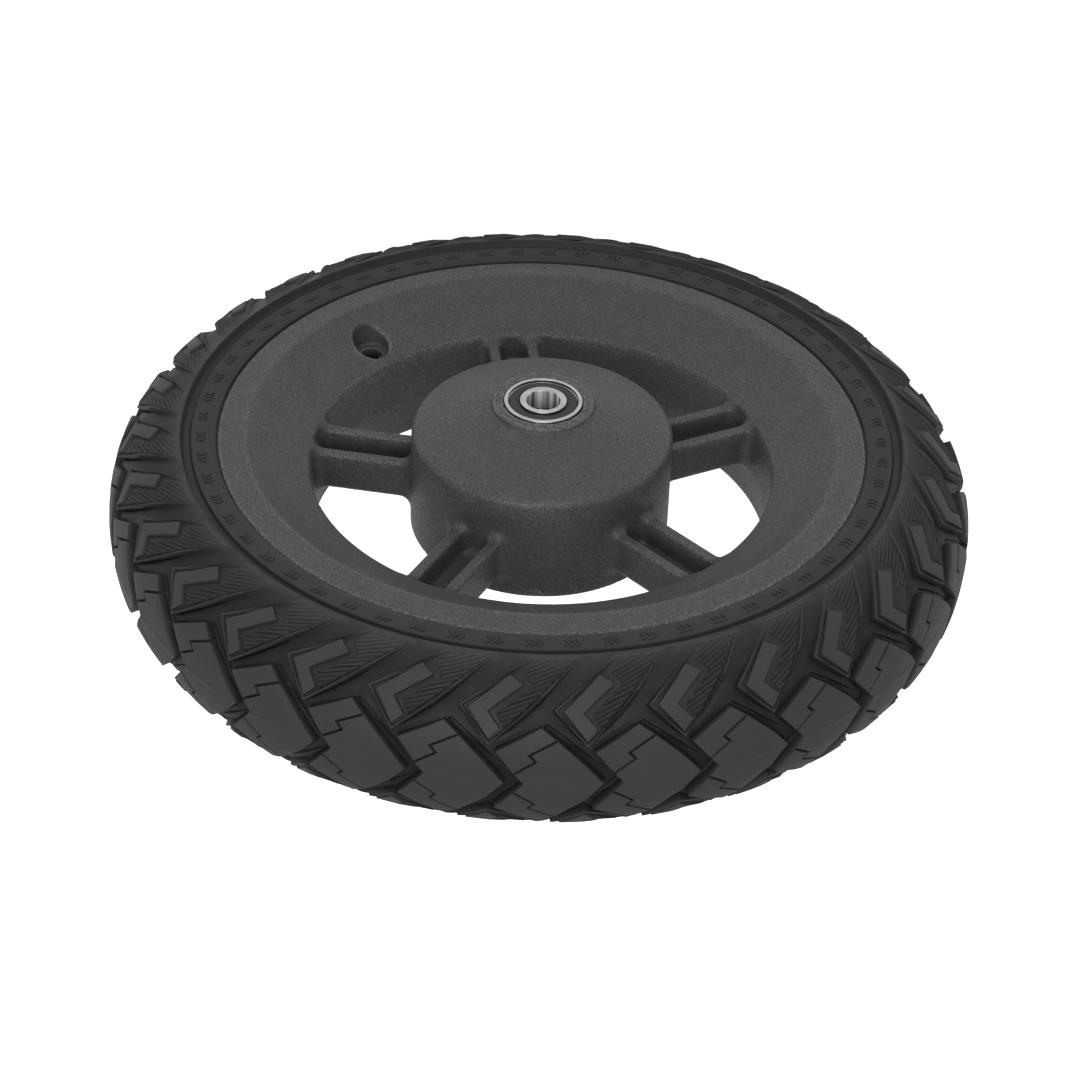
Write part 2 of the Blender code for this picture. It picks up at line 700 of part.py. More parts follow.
def cover_screws():
    for index, (x, y) in enumerate(screw_places()):
        head_low = COVER_FACE - 0.1
        head_high = COVER_FACE + 1.2
        outline = [
            (0.0, head_low + 0.8), (0.9, head_low + 0.8), (0.9, head_low), (SCREW_HEAD_R, head_low),
            (SCREW_HEAD_R, head_high), (SCREW_R, head_high), (SCREW_R, 2.0), (0.0, 2.0),
        ]
        screw = turned("cover_screw_%d" % (index + 1), outline, STEEL, 8)
        screw.location = (x * MM, y * MM, 0.0)


def cover_seal_ring():
    """O-ring round the cover's spigot."""
    corners = [i * tau / 6 for i in range(6)]
    section = [(O_RING_R + O_RING_SECTION * cos(a), O_RING_Z + O_RING_SECTION * sin(a)) for a in corners]
    return turned("cover_o_ring", section, SEAL, 30)


def hall_board():
    """Sector of circuit board under the stack, opposite the cable's slot."""
    middle = radians(270)
    start = middle - BOARD_HALF_ANGLE
    end = middle + BOARD_HALF_ANGLE
    inner, outer = BOARD_R
    outline = arc_points(outer, start, end, 8) + arc_points(inner, end, start, 8)
    return prism("hall_sensor_board", outline, *BOARD_Z, CIRCUIT)


def cable_path():
    """Middle line of the lead in (y, z): along the slot, round a bend, then out to the plug."""
    bend_z = -(HUB_HALF - CABLE_THICK / 2 - 3.4) + CABLE_BEND_R
    path = [(CABLE_Y, CABLE_START_Z), (CABLE_Y, CABLE_STRAIGHT_Z)]
    for i in range(CABLE_BEND_STEPS + 1):
        angle = i * pi / 2 / CABLE_BEND_STEPS
        path.append((CABLE_Y + CABLE_BEND_R * (1 - cos(angle)), bend_z - CABLE_BEND_R * sin(angle)))
    return path + [(CABLE_END_Y, bend_z - CABLE_BEND_R)]


def cable():
    """The flat lead, swept along its path with rounded edges."""
    path = [Vector(p) for p in cable_path()]
    half = CABLE_WIDTH / 2
    thin = CABLE_THICK / 2
    lower = [(-half, -thin / 2), (-half + thin / 2, -thin), (half - thin / 2, -thin), (half, -thin / 2)]
    section = lower + [(-x, -off) for x, off in lower]
    shape = bmesh.new()
    rings = []
    for index, point in enumerate(path):
        before = path[max(index - 1, 0)]
        after = path[min(index + 1, len(path) - 1)]
        along = (after - before).normalized()
        side = Vector((-along.y, along.x))
        loop = []
        for x, off in section:
            yz = point + side * off
            loop.append(shape.verts.new((x * MM, yz.x * MM, yz.y * MM)))
        rings.append(loop)
    count = len(section)
    for first, second in zip(rings, rings[1:]):
        for i in range(count):
            j = (i + 1) % count
            shape.faces.new((first[i], first[j], second[j], second[i]))
    shape.faces.new(rings[0])
    shape.faces.new(rings[-1])
    bmesh.ops.recalc_face_normals(shape, faces=shape.faces)
    mesh = bpy.data.meshes.new("motor_cable")
    shape.to_mesh(mesh)
    shape.free()
    return place("motor_cable", mesh, PLASTIC)


def plug():
    """Cable plug: a bevelled housing with a socket in its end."""
    middle_z = cable_path()[-1][1]
    half = PLUG_HALF_WIDTH
    half_z = HUB_HALF + middle_z
    low = (-half, CABLE_END_Y + GAP, middle_z - half_z)
    body = block("cable_plug", low, (half, PLUG_END_Y, middle_z + half_z), PLASTIC)
    bevel = body.modifiers.new("round", "BEVEL")
    bevel.width = 1.0 * MM
    bevel.segments = 1
    bevel.limit_method = "ANGLE"
    half -= PLUG_WALL
    half_z -= PLUG_WALL
    low = (-half, PLUG_END_Y - SOCKET_DEPTH, middle_z - half_z)
    socket = block("plug_socket", low, (half, PLUG_END_Y + 2, middle_z + half_z), None, CUTTERS)
    boolean(body, socket, "DIFFERENCE")
    return body


def build():
    tyre()
    wheel_casting()
    valve()
    front_low = FRONT_FACE - FRONT_WIDTH
    seals = [("outer_seal", FRONT_FACE - 1.3), ("inner_seal", front_low + 0.6)]
    bearing("front_bearing", FRONT_BORE, FRONT_OUTER, front_low, FRONT_FACE, seals)
    rear_seal = [("outer_seal", REAR_FACE + 0.5)]
    bearing("rear_bearing", REAR_BORE + 0.25, REAR_OUTER, REAR_FACE, REAR_FACE + REAR_WIDTH, rear_seal)
    flux_ring_and_magnets()
    stator()
    stator_carrier()
    spindle()
    spindle_key()
    circlip()
    side_cover()
    cover_screws()
    cover_seal_ring()
    hall_board()
    cable()
    plug()


build()
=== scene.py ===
"""Hub motor wheel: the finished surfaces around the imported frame.

Pieces are drawn in the wheel's own frame, in millimetres: the axle is +Z there, z = 0 is the middle
plane of the tyre and +Z points out of the spoked face. to_world() turns that into the frame's metres.
"""

import json
from math import ceil, cos, hypot, pi, radians, sin, sqrt, tan, tau

import bmesh
import bpy
import numpy as np
import openvdb
from mathutils import Matrix, Vector
from mathutils.geometry import delaunay_2d_cdt


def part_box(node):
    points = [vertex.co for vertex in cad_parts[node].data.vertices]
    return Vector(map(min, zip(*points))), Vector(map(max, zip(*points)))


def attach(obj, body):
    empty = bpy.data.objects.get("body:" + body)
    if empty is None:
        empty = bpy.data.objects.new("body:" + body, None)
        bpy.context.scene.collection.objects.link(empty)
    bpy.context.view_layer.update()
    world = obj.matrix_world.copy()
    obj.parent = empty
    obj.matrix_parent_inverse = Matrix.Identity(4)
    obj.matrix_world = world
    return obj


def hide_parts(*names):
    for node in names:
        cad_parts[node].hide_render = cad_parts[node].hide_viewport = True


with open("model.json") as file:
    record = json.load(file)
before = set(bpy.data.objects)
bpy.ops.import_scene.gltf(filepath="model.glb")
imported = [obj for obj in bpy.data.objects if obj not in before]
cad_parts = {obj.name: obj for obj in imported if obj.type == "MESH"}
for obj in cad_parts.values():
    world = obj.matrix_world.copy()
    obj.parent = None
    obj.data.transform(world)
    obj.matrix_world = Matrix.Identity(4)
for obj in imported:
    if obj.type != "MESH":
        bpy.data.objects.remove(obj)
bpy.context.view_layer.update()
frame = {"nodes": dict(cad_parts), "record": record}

MM = 0.001


def turned_box(node):
    """(largest radius, lowest z, highest z) of a node that is round about the axle, in millimetres."""
    low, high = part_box(node)
    return (high.x / MM, -high.y / MM, -low.y / MM)


TYRE_R = turned_box("tyre")[0]
RIM_EDGE_R, RIM_LOW, BOSS_Z = turned_box("wheel_casting")
RIDGE_Z = -RIM_LOW
FRONT_OUTER, FRONT_LOW, _ = turned_box("front_bearing_outer_ring")
COVER_R, COVER_END, COVER_INSIDE = turned_box("side_cover")
COLLAR_R, SPINDLE_END, _ = turned_box("spindle")
REAR_OUTER, REAR_FACE, REAR_INSIDE = turned_box("rear_bearing_outer_ring")

# Cast wheel
EDGE_Z = RIDGE_Z - 1.1
RIDGE_R = RIM_EDGE_R - 10.0
FLANGE_IN_Z = 27.6
SEAT_R = 101.5
SEAT_CHAMFER = 4.0
BARREL_TOP_R = 83.6
BARREL_TOP_Z = 19.0
BARREL_MID_R = 81.0
DRUM_R = 47.0
DRUM_TOP = 31.7
DRUM_BOTTOM = -8.5
DRUM_BORE_R = 39.6
BOSS_R = 18.2
SPOKES = 5
SPOKE_FIRST = radians(27)
SPOKE_HALF_WIDTH = 9.8
SPOKE_CHANNEL = 5.0
SPOKE_TOP = 15.0
SPOKE_WEB = (2.5, 5.5)
SPOKE_RANGE = (41.5, 84.5)
SPOKE_FILLET = 4.0
VALVE_ANGLE = SPOKE_FIRST + 1.5 * tau / SPOKES
VALVE_R = 93.4
VALVE_POCKET_R = 6.4
VALVE_FLOOR_Z = 17.4
VALVE_HOLE_R = 3.9
VALVE_POCKET_TAPER = 0.06
VALVE_POCKET_EDGE = 0.9
SCREWS = 6
SCREW_CIRCLE_R = 42.3
SCREW_HOLE_R = 1.45
SCREW_HOLE_TOP = 3.5
CAST_VOXEL = 1.0
CAST_ADAPTIVITY = 0.02
PROJECTIONS = 3               # times that each vertex is moved towards the true surface
MOST_STEP = 0.5
RELAX_ROUNDS = 8
FOLDED = 0.1                  # cosine below which a face corner counts as folded
MERGE_LATHED = 0.002          # points this close are one, on turned and lofted pieces
MERGE_CARVED = 0.0002
MERGE_TREAD = 0.02
SHARP = 35.0                  # edges bent by more than this many degrees stay sharp
SHARP_RUBBER = 24.0


# ---------------------------------------------------------------- mesh helpers


def to_world(points):
    """Wheel frame in millimetres to the frame's metres."""
    return np.asarray(points, float)[:, [0, 2, 1]] * -MM


def placed(name, data):
    """A new object in the scene."""
    made = bpy.data.objects.new(name, data)
    bpy.context.scene.collection.objects.link(made)
    return made


def piece(name, shape, node, body="wheel", slot=None):
    """A new visible piece from (points in the wheel frame, faces), shown in place of a CAD node.

    Without a node it is an addition, and its slot has to be given."""
    points, faces = shape
    slot = slot or SLOTS[node]
    mesh = bpy.data.meshes.new(name)
    mesh.from_pydata(to_world(points).tolist(), [], faces)
    mesh.materials.append(FINISH[slot])
    made = placed(name, mesh)
    mesh.shade_smooth()
    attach(made, body)
    if node:
        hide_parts(node)
    return made


def welded(name, shape, node, body="wheel", sharp=SHARP, slot=None):
    """A piece whose coinciding points are joined."""
    made = piece(name, shape, node, body, slot)
    weld(made, MERGE_LATHED, sharp)
    return made


def rounded(corners, bend=radians(15)):
    """The outline through (x, y, fillet) corners, each rounded by an arc of that radius."""
    outline = []
    for i, (x, y, fillet) in enumerate(corners):
        here = Vector((x, y))
        before = Vector(corners[i - 1][:2]) - here
        after = Vector(corners[(i + 1) % len(corners)][:2]) - here
        half = before.angle(after) / 2
        reach = min(fillet / tan(half), 0.49 * before.length, 0.49 * after.length)
        if reach < 1e-4:
            outline.append((x, y))
            continue
        radius = reach * tan(half)
        middle = (before.normalized() + after.normalized()).normalized()
        centre = here + middle * radius / sin(half)
        first = here + before.normalized() * reach - centre
        last = here + after.normalized() * reach - centre
        sweep = first.angle(last)
        steps = max(2, ceil(sweep / bend))
        for k in range(steps + 1):
            t = k / steps
            at = centre + (first * sin((1 - t) * sweep) + last * sin(t * sweep)) / sin(sweep)
            outline.append((at.x, at.y))
    return outline


def polar(radius, angle):
    return (radius * cos(angle), radius * sin(angle))


def turned(corners, steps, place=None):
    """Points and faces of a (radius, z, fillet) outline, turned about the axle or a placement's Z axis.

    The outline's corners are listed anticlockwise."""
    outline = np.array(rounded(corners))
    rows = len(outline)
    angles = np.arange(steps) * tau / steps
    x = np.cos(angles)[:, None] * outline[:, 0]
    y = np.sin(angles)[:, None] * outline[:, 0]
    z = np.broadcast_to(outline[:, 1], x.shape)
    points = np.stack([x, y, z], axis=-1).reshape(-1, 3)
    if place is not None:
        points = points @ np.array(place.to_3x3()).T + np.array(place.translation)
    faces = []
    for i in range(steps):
        j = (i + 1) % steps
        for k in range(rows):
            n = (k + 1) % rows
            faces.append((i * rows + k, j * rows + k, j * rows + n, i * rows + n))
    return points, faces


def lofted(loops):
    """Points and faces through equal loops of points, with both ends closed."""
    count = len(loops[0])
    points = [at for loop in loops for at in loop]
    faces = []
    for row in range(len(loops) - 1):
        for i in range(count):
            j = (i + 1) % count
            a = row * count
            faces.append((a + i, a + j, a + count + j, a + count + i))
    last = (len(loops) - 1) * count
    faces.append(tuple(range(count))[::-1])
    faces.append(tuple(range(last, last + count)))
    return points, faces


def merged(parts):
    """One list of points and faces from several closed shapes."""
    points, faces = [], []
    for some_points, some_faces in parts:
        base = len(points)
        points += [tuple(at) for at in some_points]
        faces += [tuple(base + i for i in face) for face in some_faces]
    return points, faces


def weld(made, distance, sharp):
    """Joins points closer than this many millimetres, turns all faces outwards and marks the sharp edges."""
    shape = bmesh.new()
    shape.from_mesh(made.data)
    bmesh.ops.remove_doubles(shape, verts=shape.verts, dist=distance * MM)
    loose = [v for v in shape.verts if not v.link_faces]
    bmesh.ops.delete(shape, geom=loose, context="VERTS")
    bare = [edge for edge in shape.edges if not edge.link_faces]
    bmesh.ops.delete(shape, geom=bare, context="EDGES")
    bmesh.ops.recalc_face_normals(shape, faces=shape.faces)
    shape.to_mesh(made.data)
    shape.free()
    made.data.shade_smooth()
    made.data.set_sharp_from_angle(angle=radians(sharp))


def carved(made, tools):
    """Takes closed shapes, each given as points and faces in the wheel frame, out of a piece."""
    mesh = bpy.data.meshes.new("tools")
    points, faces = merged(tools)
    mesh.from_pydata(to_world(points).tolist(), [], faces)
    shape = bmesh.new()
    shape.from_mesh(mesh)
    bmesh.ops.recalc_face_normals(shape, faces=shape.faces)
    shape.to_mesh(mesh)
    shape.free()
    tool = placed("tools", mesh)
    cutter = made.modifiers.new("cut", "BOOLEAN")
    cutter.operation = "DIFFERENCE"
    cutter.solver = "EXACT"
    cutter.object = tool
    graph = bpy.context.evaluated_depsgraph_get()
    result = bpy.data.meshes.new_from_object(made.evaluated_get(graph))
    made.modifiers.clear()
    made.data = result
    bpy.data.objects.remove(tool)
    weld(made, MERGE_CARVED, SHARP)


def box_shape(low, high):
    x, y, z = zip(low, high)
    ends = [[(x[0], y[0], at), (x[1], y[0], at), (x[1], y[1], at), (x[0], y[1], at)] for at in z]
    return lofted(ends)


def stepped_rod(sizes, at, steps=32):
    """A round tool along the axle's direction through (radius, z) pairs."""
    loops = []
    for radius, z in sizes:
        ring = [polar(radius, i * tau / steps) for i in range(steps)]
        loops.append([(at[0] + x, at[1] + y, z) for x, y in ring])
    return lofted(loops)


# ---------------------------------------------------------------- distance fields


def outline_distance(x, y, outline):
    """Signed distance to a closed outline, negative inside."""
    nearest = np.full(x.shape, 1e9)
    inside = np.zeros(x.shape, bool)
    ax, ay = outline[-1]
    for bx, by in outline:
        ex, ey = bx - ax, by - ay
        wx, wy = x - ax, y - ay
        t = np.clip((wx * ex + wy * ey) / (ex * ex + ey * ey), 0.0, 1.0)
        nearest = np.minimum(nearest, (wx - ex * t) ** 2 + (wy - ey * t) ** 2)
        if ey != 0:
            inside ^= ((ay > y) != (by > y)) & (x < ax + wy * ex / ey)
        ax, ay = bx, by
    return np.where(inside, -1.0, 1.0) * np.sqrt(nearest)


class Lookup:
    """Signed distance of an outline on a fine grid, read back by bilinear interpolation."""

    STEP = 0.25

    def __init__(self, outline, low, high):
        self.low = np.array(low, float)
        self.shape = np.ceil((np.array(high) - self.low) / self.STEP).astype(int) + 2
        u = self.low[0] + self.STEP * np.arange(self.shape[0])
        v = self.low[1] + self.STEP * np.arange(self.shape[1])
        grid = np.meshgrid(u, v, indexing="ij")
        self.values = outline_distance(grid[0], grid[1], outline).astype(np.float32)

    def __call__(self, u, v):
        i = np.clip((u - self.low[0]) / self.STEP, 0, self.shape[0] - 1.001)
        j = np.clip((v - self.low[1]) / self.STEP, 0, self.shape[1] - 1.001)
        a, b = i.astype(np.int32), j.astype(np.int32)
        i, j = i - a, j - b
        values = self.values
        near = values[a, b] * (1 - i) + values[a + 1, b] * i
        far = values[a, b + 1] * (1 - i) + values[a + 1, b + 1] * i
        return near * (1 - j) + far * j


def joined(a, b, fillet):
    """Union of two fields with a fillet of this radius between them."""
    near = np.hypot(np.maximum(fillet - a, 0), np.maximum(fillet - b, 0))
    return np.maximum(fillet, np.minimum(a, b)) - near


def cut(a, b, fillet):
    """Field a without field b, with a rounded edge of this radius."""
    return -joined(-a, b, fillet)


# ---------------------------------------------------------------- cast wheel


def rim_corners():
    """Half of the rim's section from the spoked side to the middle of the tyre side, then mirrored."""
    outside = [
        (BARREL_MID_R, 0.0, 12.0),
        (BARREL_TOP_R - 0.2, BARREL_TOP_Z - 1.5, 2.5),
        (BARREL_TOP_R + 12.4, BARREL_TOP_Z + 5.0, 22.0),
        (RIDGE_R, RIDGE_Z, 2.2),
        (RIM_EDGE_R, EDGE_Z, 0.9),
        (RIM_EDGE_R, FLANGE_IN_Z + 0.9, 0.0),
        (RIM_EDGE_R - 2.2, FLANGE_IN_Z, 1.0),
        (SEAT_R + SEAT_CHAMFER, FLANGE_IN_Z, 1.0),
        (SEAT_R, FLANGE_IN_Z - SEAT_CHAMFER, 1.0),
        (SEAT_R, 16.4, 1.0),
        (SEAT_R - 2.5, 15.2, 1.0),
        (90.5, 12.6, 3.0),
        (87.0, 8.0, 4.0),
    ]
    middle = [(BARREL_MID_R + 5.2, 0.0, 2.0)]
    mirrored = [(r, -z, fillet) for r, z, fillet in reversed(outside[1:])]
    return outside + middle + mirrored


def drum_corners():
    seat_r = FRONT_OUTER + 0.2
    seat_z = FRONT_LOW - 0.3
    cover_seat_r = COVER_R + 0.3
    return [
        (DRUM_BORE_R, COVER_INSIDE - 2.2, 0.0),
        (cover_seat_r, COVER_INSIDE - 2.2, 0.2),
        (cover_seat_r, DRUM_BOTTOM, 0.3),
        (DRUM_R, DRUM_BOTTOM, 0.8),
        (DRUM_R, DRUM_TOP, 4.0),
        (BOSS_R + 0.5, BOSS_Z - 1.9, 0.9),
        (BOSS_R, BOSS_Z, 0.8),
        (seat_r, BOSS_Z, 0.35),
        (seat_r, seat_z, 0.0),
        (seat_r - 1.3, seat_z, 0.2),
        (seat_r - 1.3, seat_z - 2.4, 0.3),
        (20.0, seat_z - 3.4, 1.0),
        (DRUM_BORE_R - 2.0, 27.0, 2.0),
        (DRUM_BORE_R, 24.5, 1.0),
    ]


def spoke_corners():
    """The H section in (across, z)."""
    low, high = SPOKE_WEB
    right = [
        (SPOKE_CHANNEL, low, 1.4),
        (SPOKE_CHANNEL + 0.2, 0.0, 1.3),
        (SPOKE_HALF_WIDTH, 0.0, 1.4),
        (SPOKE_HALF_WIDTH - 0.2, SPOKE_TOP, 1.7),
        (SPOKE_CHANNEL + 0.2, SPOKE_TOP, 1.6),
        (SPOKE_CHANNEL - 0.3, high, 2.0),
    ]
    return right + [(-x, z, fillet) for x, z, fillet in reversed(right)]


class Casting:
    """The wheel casting as one distance field: rim, drum and spokes joined by fillets, holes cut out."""

    def __init__(self):
        reach = 3 * CAST_VOXEL + 1
        self.rim = Lookup(rounded(rim_corners()), (75, -RIDGE_Z - 4), (RIM_EDGE_R + 4, RIDGE_Z + 4))
        self.drum = Lookup(rounded(drum_corners()), (0, DRUM_BOTTOM - 5), (DRUM_R + 8, BOSS_Z + reach))
        self.spoke = Lookup(rounded(spoke_corners()), (-18, -8), (18, SPOKE_TOP + 8))

    def spokes(self, x, y, z):
        share = tau / SPOKES
        angle = (np.arctan2(y, x) - SPOKE_FIRST + share / 2) % share - share / 2
        radius = np.hypot(x, y)
        outward = radius * np.cos(angle)
        across = radius * np.sin(angle)
        low, high = SPOKE_RANGE
        ends = np.abs(outward - (low + high) / 2) - (high - low) / 2
        return np.maximum(self.spoke(across, z), ends)

    def valve_cut(self, x, y, z):
        """Pocket in the rim's slope, a little wider at its mouth, and the hole in its floor."""
        outward = x * cos(VALVE_ANGLE) + y * sin(VALVE_ANGLE) - VALVE_R
        aside = -x * sin(VALVE_ANGLE) + y * cos(VALVE_ANGLE)
        off = np.hypot(outward, aside)
        up = z - VALVE_FLOOR_Z
        wall = off - VALVE_POCKET_R - VALVE_POCKET_TAPER * up
        pocket = -joined(-wall, up, 1.0)
        hole = np.maximum(off - VALVE_HOLE_R, np.maximum(-14.0 - up, up - 2.0))
        return joined(pocket, hole, 0.5)

    def __call__(self, x, y, z):
        radius = np.hypot(x, y)
        rim = np.where(radius > 72, self.rim(radius, z), 99.0)
        drum = np.where(radius < DRUM_R + 10, self.drum(radius, z), 99.0)
        spokes = self.spokes(x, y, z)
        field = joined(np.minimum(rim, drum), spokes, SPOKE_FILLET)
        field = cut(field, self.valve_cut(x, y, z), VALVE_POCKET_EDGE)
        for at in screw_places():
            hole = np.hypot(x - at[0], y - at[1]) - SCREW_HOLE_R
            field = np.maximum(field, -np.maximum(hole, z - SCREW_HOLE_TOP))
        return field

    def slope_at(self, points, step=0.3):
        """Gradient of the field at some points, by central differences."""
        found = []
        for axis in range(3):
            shift = np.zeros(3)
            shift[axis] = step
            ahead = self(*(points + shift).T)
            behind = self(*(points - shift).T)
            found.append((ahead - behind) / (2 * step))
        return np.stack(found, axis=-1)


def screw_places():
    return [polar(SCREW_CIRCLE_R, SPOKE_FIRST + (i + 0.5) * tau / SCREWS) for i in range(SCREWS)]


def casting_mesh():
    """The field's surface: quads from a voxel grid, with each vertex moved on to the true surface."""
    field = Casting()
    low = np.array([-RIM_EDGE_R - 4, -RIM_EDGE_R - 4, RIM_LOW - 4])
    high = np.array([RIM_EDGE_R + 4, RIM_EDGE_R + 4, BOSS_Z + 4])
    shape = np.ceil((high - low) / CAST_VOXEL).astype(int)
    axes = [low[i] + CAST_VOXEL * np.arange(shape[i]) for i in range(3)]
    values = np.empty(shape, np.float32)
    for i, x in enumerate(axes[0]):
        y, z = np.meshgrid(axes[1], axes[2], indexing="ij")
        values[i] = field(np.full_like(y, x), y, z)
    reach = 3 * CAST_VOXEL
    grid = openvdb.FloatGrid(reach)
    grid.copyFromArray(np.clip(values, -reach, reach))
    points, triangles, quads = grid.convertToPolygons(isovalue=0.0, adaptivity=CAST_ADAPTIVITY)
    points = low + CAST_VOXEL * np.asarray(points, float)
    for _ in range(PROJECTIONS):
        points = on_surface(field, points)
    for _ in range(RELAX_ROUNDS):
        points = unfolded(field, points, (triangles, quads))
    faces = [tuple(f) for f in triangles.tolist()] + [tuple(f) for f in quads.tolist()]
    return points, faces, field.slope_at(points)


def on_surface(field, points):
    """Points moved along the field's gradient towards its surface, by MOST_STEP at most."""
    slope = field.slope_at(points)
    length = np.maximum((slope**2).sum(1), 0.05)
    step = field(*points.T) / length
    return points - slope * np.clip(step, -MOST_STEP, MOST_STEP)[:, None]


def unfolded(field, points, kinds):
    """Vertices of folded faces moved to the middle of their neighbours and back on to the surface."""
    outward = field.slope_at(points)
    total = np.zeros_like(points)
    links = np.zeros(len(points))
    folded = np.zeros(len(points), bool)
    for faces in kinds:
        for k in range(faces.shape[1]):
            here, after, before = (np.roll(faces, -shift, axis=1)[:, k] for shift in (0, 1, -1))
            corner = np.cross(points[after] - points[here], points[before] - points[here])
            turned_back = (corner * outward[here]).sum(1) < FOLDED * np.linalg.norm(corner, axis=1)
            folded[faces[turned_back]] = True
            for other in (after, before):
                np.add.at(total, here, points[other])
                np.add.at(links, here, 1)
    moved = total[folded] / links[folded][:, None]
    for _ in range(2):
        moved = on_surface(field, moved)
    result = points.copy()
    result[folded] = moved
    return result


def wheel_casting():
    points, faces, slope = casting_mesh()
    made = piece("cast_wheel", (points, faces), "wheel_casting")
    normals = to_world(slope / np.linalg.norm(slope, axis=1)[:, None]) / MM
    made.data.normals_split_custom_set_from_vertices(normals.tolist())


# ---------------------------------------------------------------- tyre

TYRE_HEIGHT = 42.0
TYRE_HALF_WIDTH = 34.3
TYRE_POWER = 2.4
TYRE_CENTRE_R = TYRE_R - TYRE_HEIGHT
PITCHES = 30                  # times that the tread pattern repeats round the tyre
PITCH_DEGREES = 360 / PITCHES
PITCH = 31.4                  # length of one pattern in the flat layout, about the mean over the tread
DEGREE = PITCH / PITCH_DEGREES
TREAD_EDGE = 46.0             # the layout runs this far either way from the middle of the crown
TREAD_PHASE = -87.37          # degrees: where one pattern's L corner lies round the wheel
COLUMNS = 8
TOP = 0.12                    # depths below the tyre's outer surface
LIP = 0.3
RECESS = 1.25
EDGE_WIDTH = 0.35             # slope widths of the small steps on a leaf
RIB_HEIGHT = 0.65
RIB_SPACING = 1.45
RIB_SLOPE = 0.42
DEEP = 3.6
SIPE_DEPTH = 1.5
SIPE_WIDTH = 0.95
WALL = 0.5
DEEP_WALL = 0.5
SIPE_WALL = 0.3
CREST = 0.35                  # half the width of the flat along the middle of the crown
TILE_ROWS = 18                # rows of plain points on each half of the flat layout
CROWN_THICK = 8.0             # from the outer surface to the cavity, at the crown and at the side
SIDE_THICK = 4.5
MARKS = 60
MARK_PLACES = (-2.9, -1.0, 0.9)
MARK_SUNK = 0.4
MARK_RAISED = 0.3
MARK_R = 120.1
BAND_Z = RIDGE_Z + 0.15       # height of the flat band between the rim and the tread
BEAD_SHADE = 1.0              # depth that the plain rubber is coloured as


def flat(corners):
    """Corners given as (degrees round the tyre, distance from the crown's middle), in the flat layout."""
    return [(degrees * DEGREE, across) for degrees, across in corners]


# One pattern on one half of the tread. Degrees count from the outer corner of the L-shaped leaf.
LEAF = flat([(0.0, 26.5), (4.35, 13.4), (11.4, 31.7), (16.4, 45.5), (9.1, 45.5)])
PAD = flat([(1.25, 26.0), (4.25, 15.6), (5.7, 19.9), (4.0, 25.2), (8.3, 34.6), (6.3, 38.4)])
HATCH = flat(
    [(4.9, 24.8), (5.95, 19.6), (11.0, 32.9), (15.3, 44.6), (9.9, 44.6), (8.0, 39.4), (9.3, 34.6)]
)
BLOCK_HALF = flat([(-3.5, 0.0), (-7.0, 12.2), (-1.35, 21.2), (0.7, 16.9), (4.4, 7.1), (6.5, 0.0)])
SIPE_LINE = flat([(0.9, 17.0), (-2.7, 11.3), (-1.9, 9.0), (-4.3, 4.3)])
DEEP_HALF = flat(
    [(6.5, 0.0), (4.4, 7.1), (0.7, 16.9), (-1.2, 21.2), (-0.5, 21.9), (1.5, 17.6), (5.3, 7.9), (7.4, 3.6)]
    + [(8.5, 0.0)]
)


def signed_area(outline):
    return sum(a[0] * b[1] - b[0] * a[1] for a, b in zip(outline, outline[1:] + outline[:1])) / 2


def inset(outline, by):
    """The outline moved inwards by this much, with mitred corners."""
    turned_left = outline if signed_area(outline) > 0 else outline[::-1]
    moved = []
    for i, here in enumerate(turned_left):
        before = (Vector(here) - Vector(turned_left[i - 1])).normalized()
        after = (Vector(turned_left[(i + 1) % len(turned_left)]) - Vector(here)).normalized()
        side = Vector((-before.y, before.x))
        middle = (side + Vector((-after.y, after.x))).normalized()
        at = Vector(here) + middle * by / max(middle.dot(side), 0.4)
        moved.append((at.x, at.y))
    return moved


def band(ends, width):
    """A narrow closed strip from one point to another, as long again at each end as half its width."""
    first, last = Vector(ends[0]), Vector(ends[1])
    along = (last - first).normalized() * width / 2
    side = Vector((-along.y, along.x))
    corners = (first - along + side, first - along - side, last + along - side, last + along + side)
    return [tuple(at) for at in corners]


def both_halves(half):
    """A shape that starts and ends on the crown's middle line, closed by its mirror image."""
    return half + [(x, -v) for x, v in reversed(half[1:-1])]


BLOCK = both_halves(BLOCK_HALF)
DEEP_GROOVE = both_halves(DEEP_HALF)
LEAF_RECESS = inset(LEAF, 0.95)
SIPES = [band(pair, SIPE_WIDTH) for pair in zip(SIPE_LINE, SIPE_LINE[1:])]


def ramp(distance, width):
    """0 outside an outline, 1 once this far inside it."""
    return np.clip(-distance / width, 0.0, 1.0)


def floor_depth(across):
    """The channels are deepest at the crown and run out before the bead."""
    return np.interp(across, [0, 15, 30, 39, 44.6, 45.7], [3.2, 3.0, 2.7, 2.1, 0.9, LIP])


def rib_wave(x, v):
    """0 in the valleys and 1 on the crests of the fine ribs."""
    across = (v - RIB_SLOPE * x) / hypot(1.0, RIB_SLOPE) / RIB_SPACING
    return 1 - 2 * np.abs(across % 1.0 - 0.5)


def leaf_depth(x, v, floor):
    """Depth on one L-shaped leaf: a lip round a recess with ribs, and a raised pad."""
    inside = ramp(outline_distance(x, v, LEAF), WALL)
    recess = (RECESS - LIP) * np.interp(v, [39.0, 45.4], [1.0, 0.25])
    leaf = floor + (np.minimum(LIP, floor) - floor) * inside
    leaf += recess * ramp(outline_distance(x, v, LEAF_RECESS), EDGE_WIDTH)
    ribs = RIB_HEIGHT * np.interp(v, [39.0, 45.0], [1.0, 0.5])
    leaf -= ribs * rib_wave(x, v) * ramp(outline_distance(x, v, HATCH), EDGE_WIDTH)
    leaf += (TOP - leaf) * ramp(outline_distance(x, v, PAD), EDGE_WIDTH)
    return np.where(inside > 0, leaf, floor)


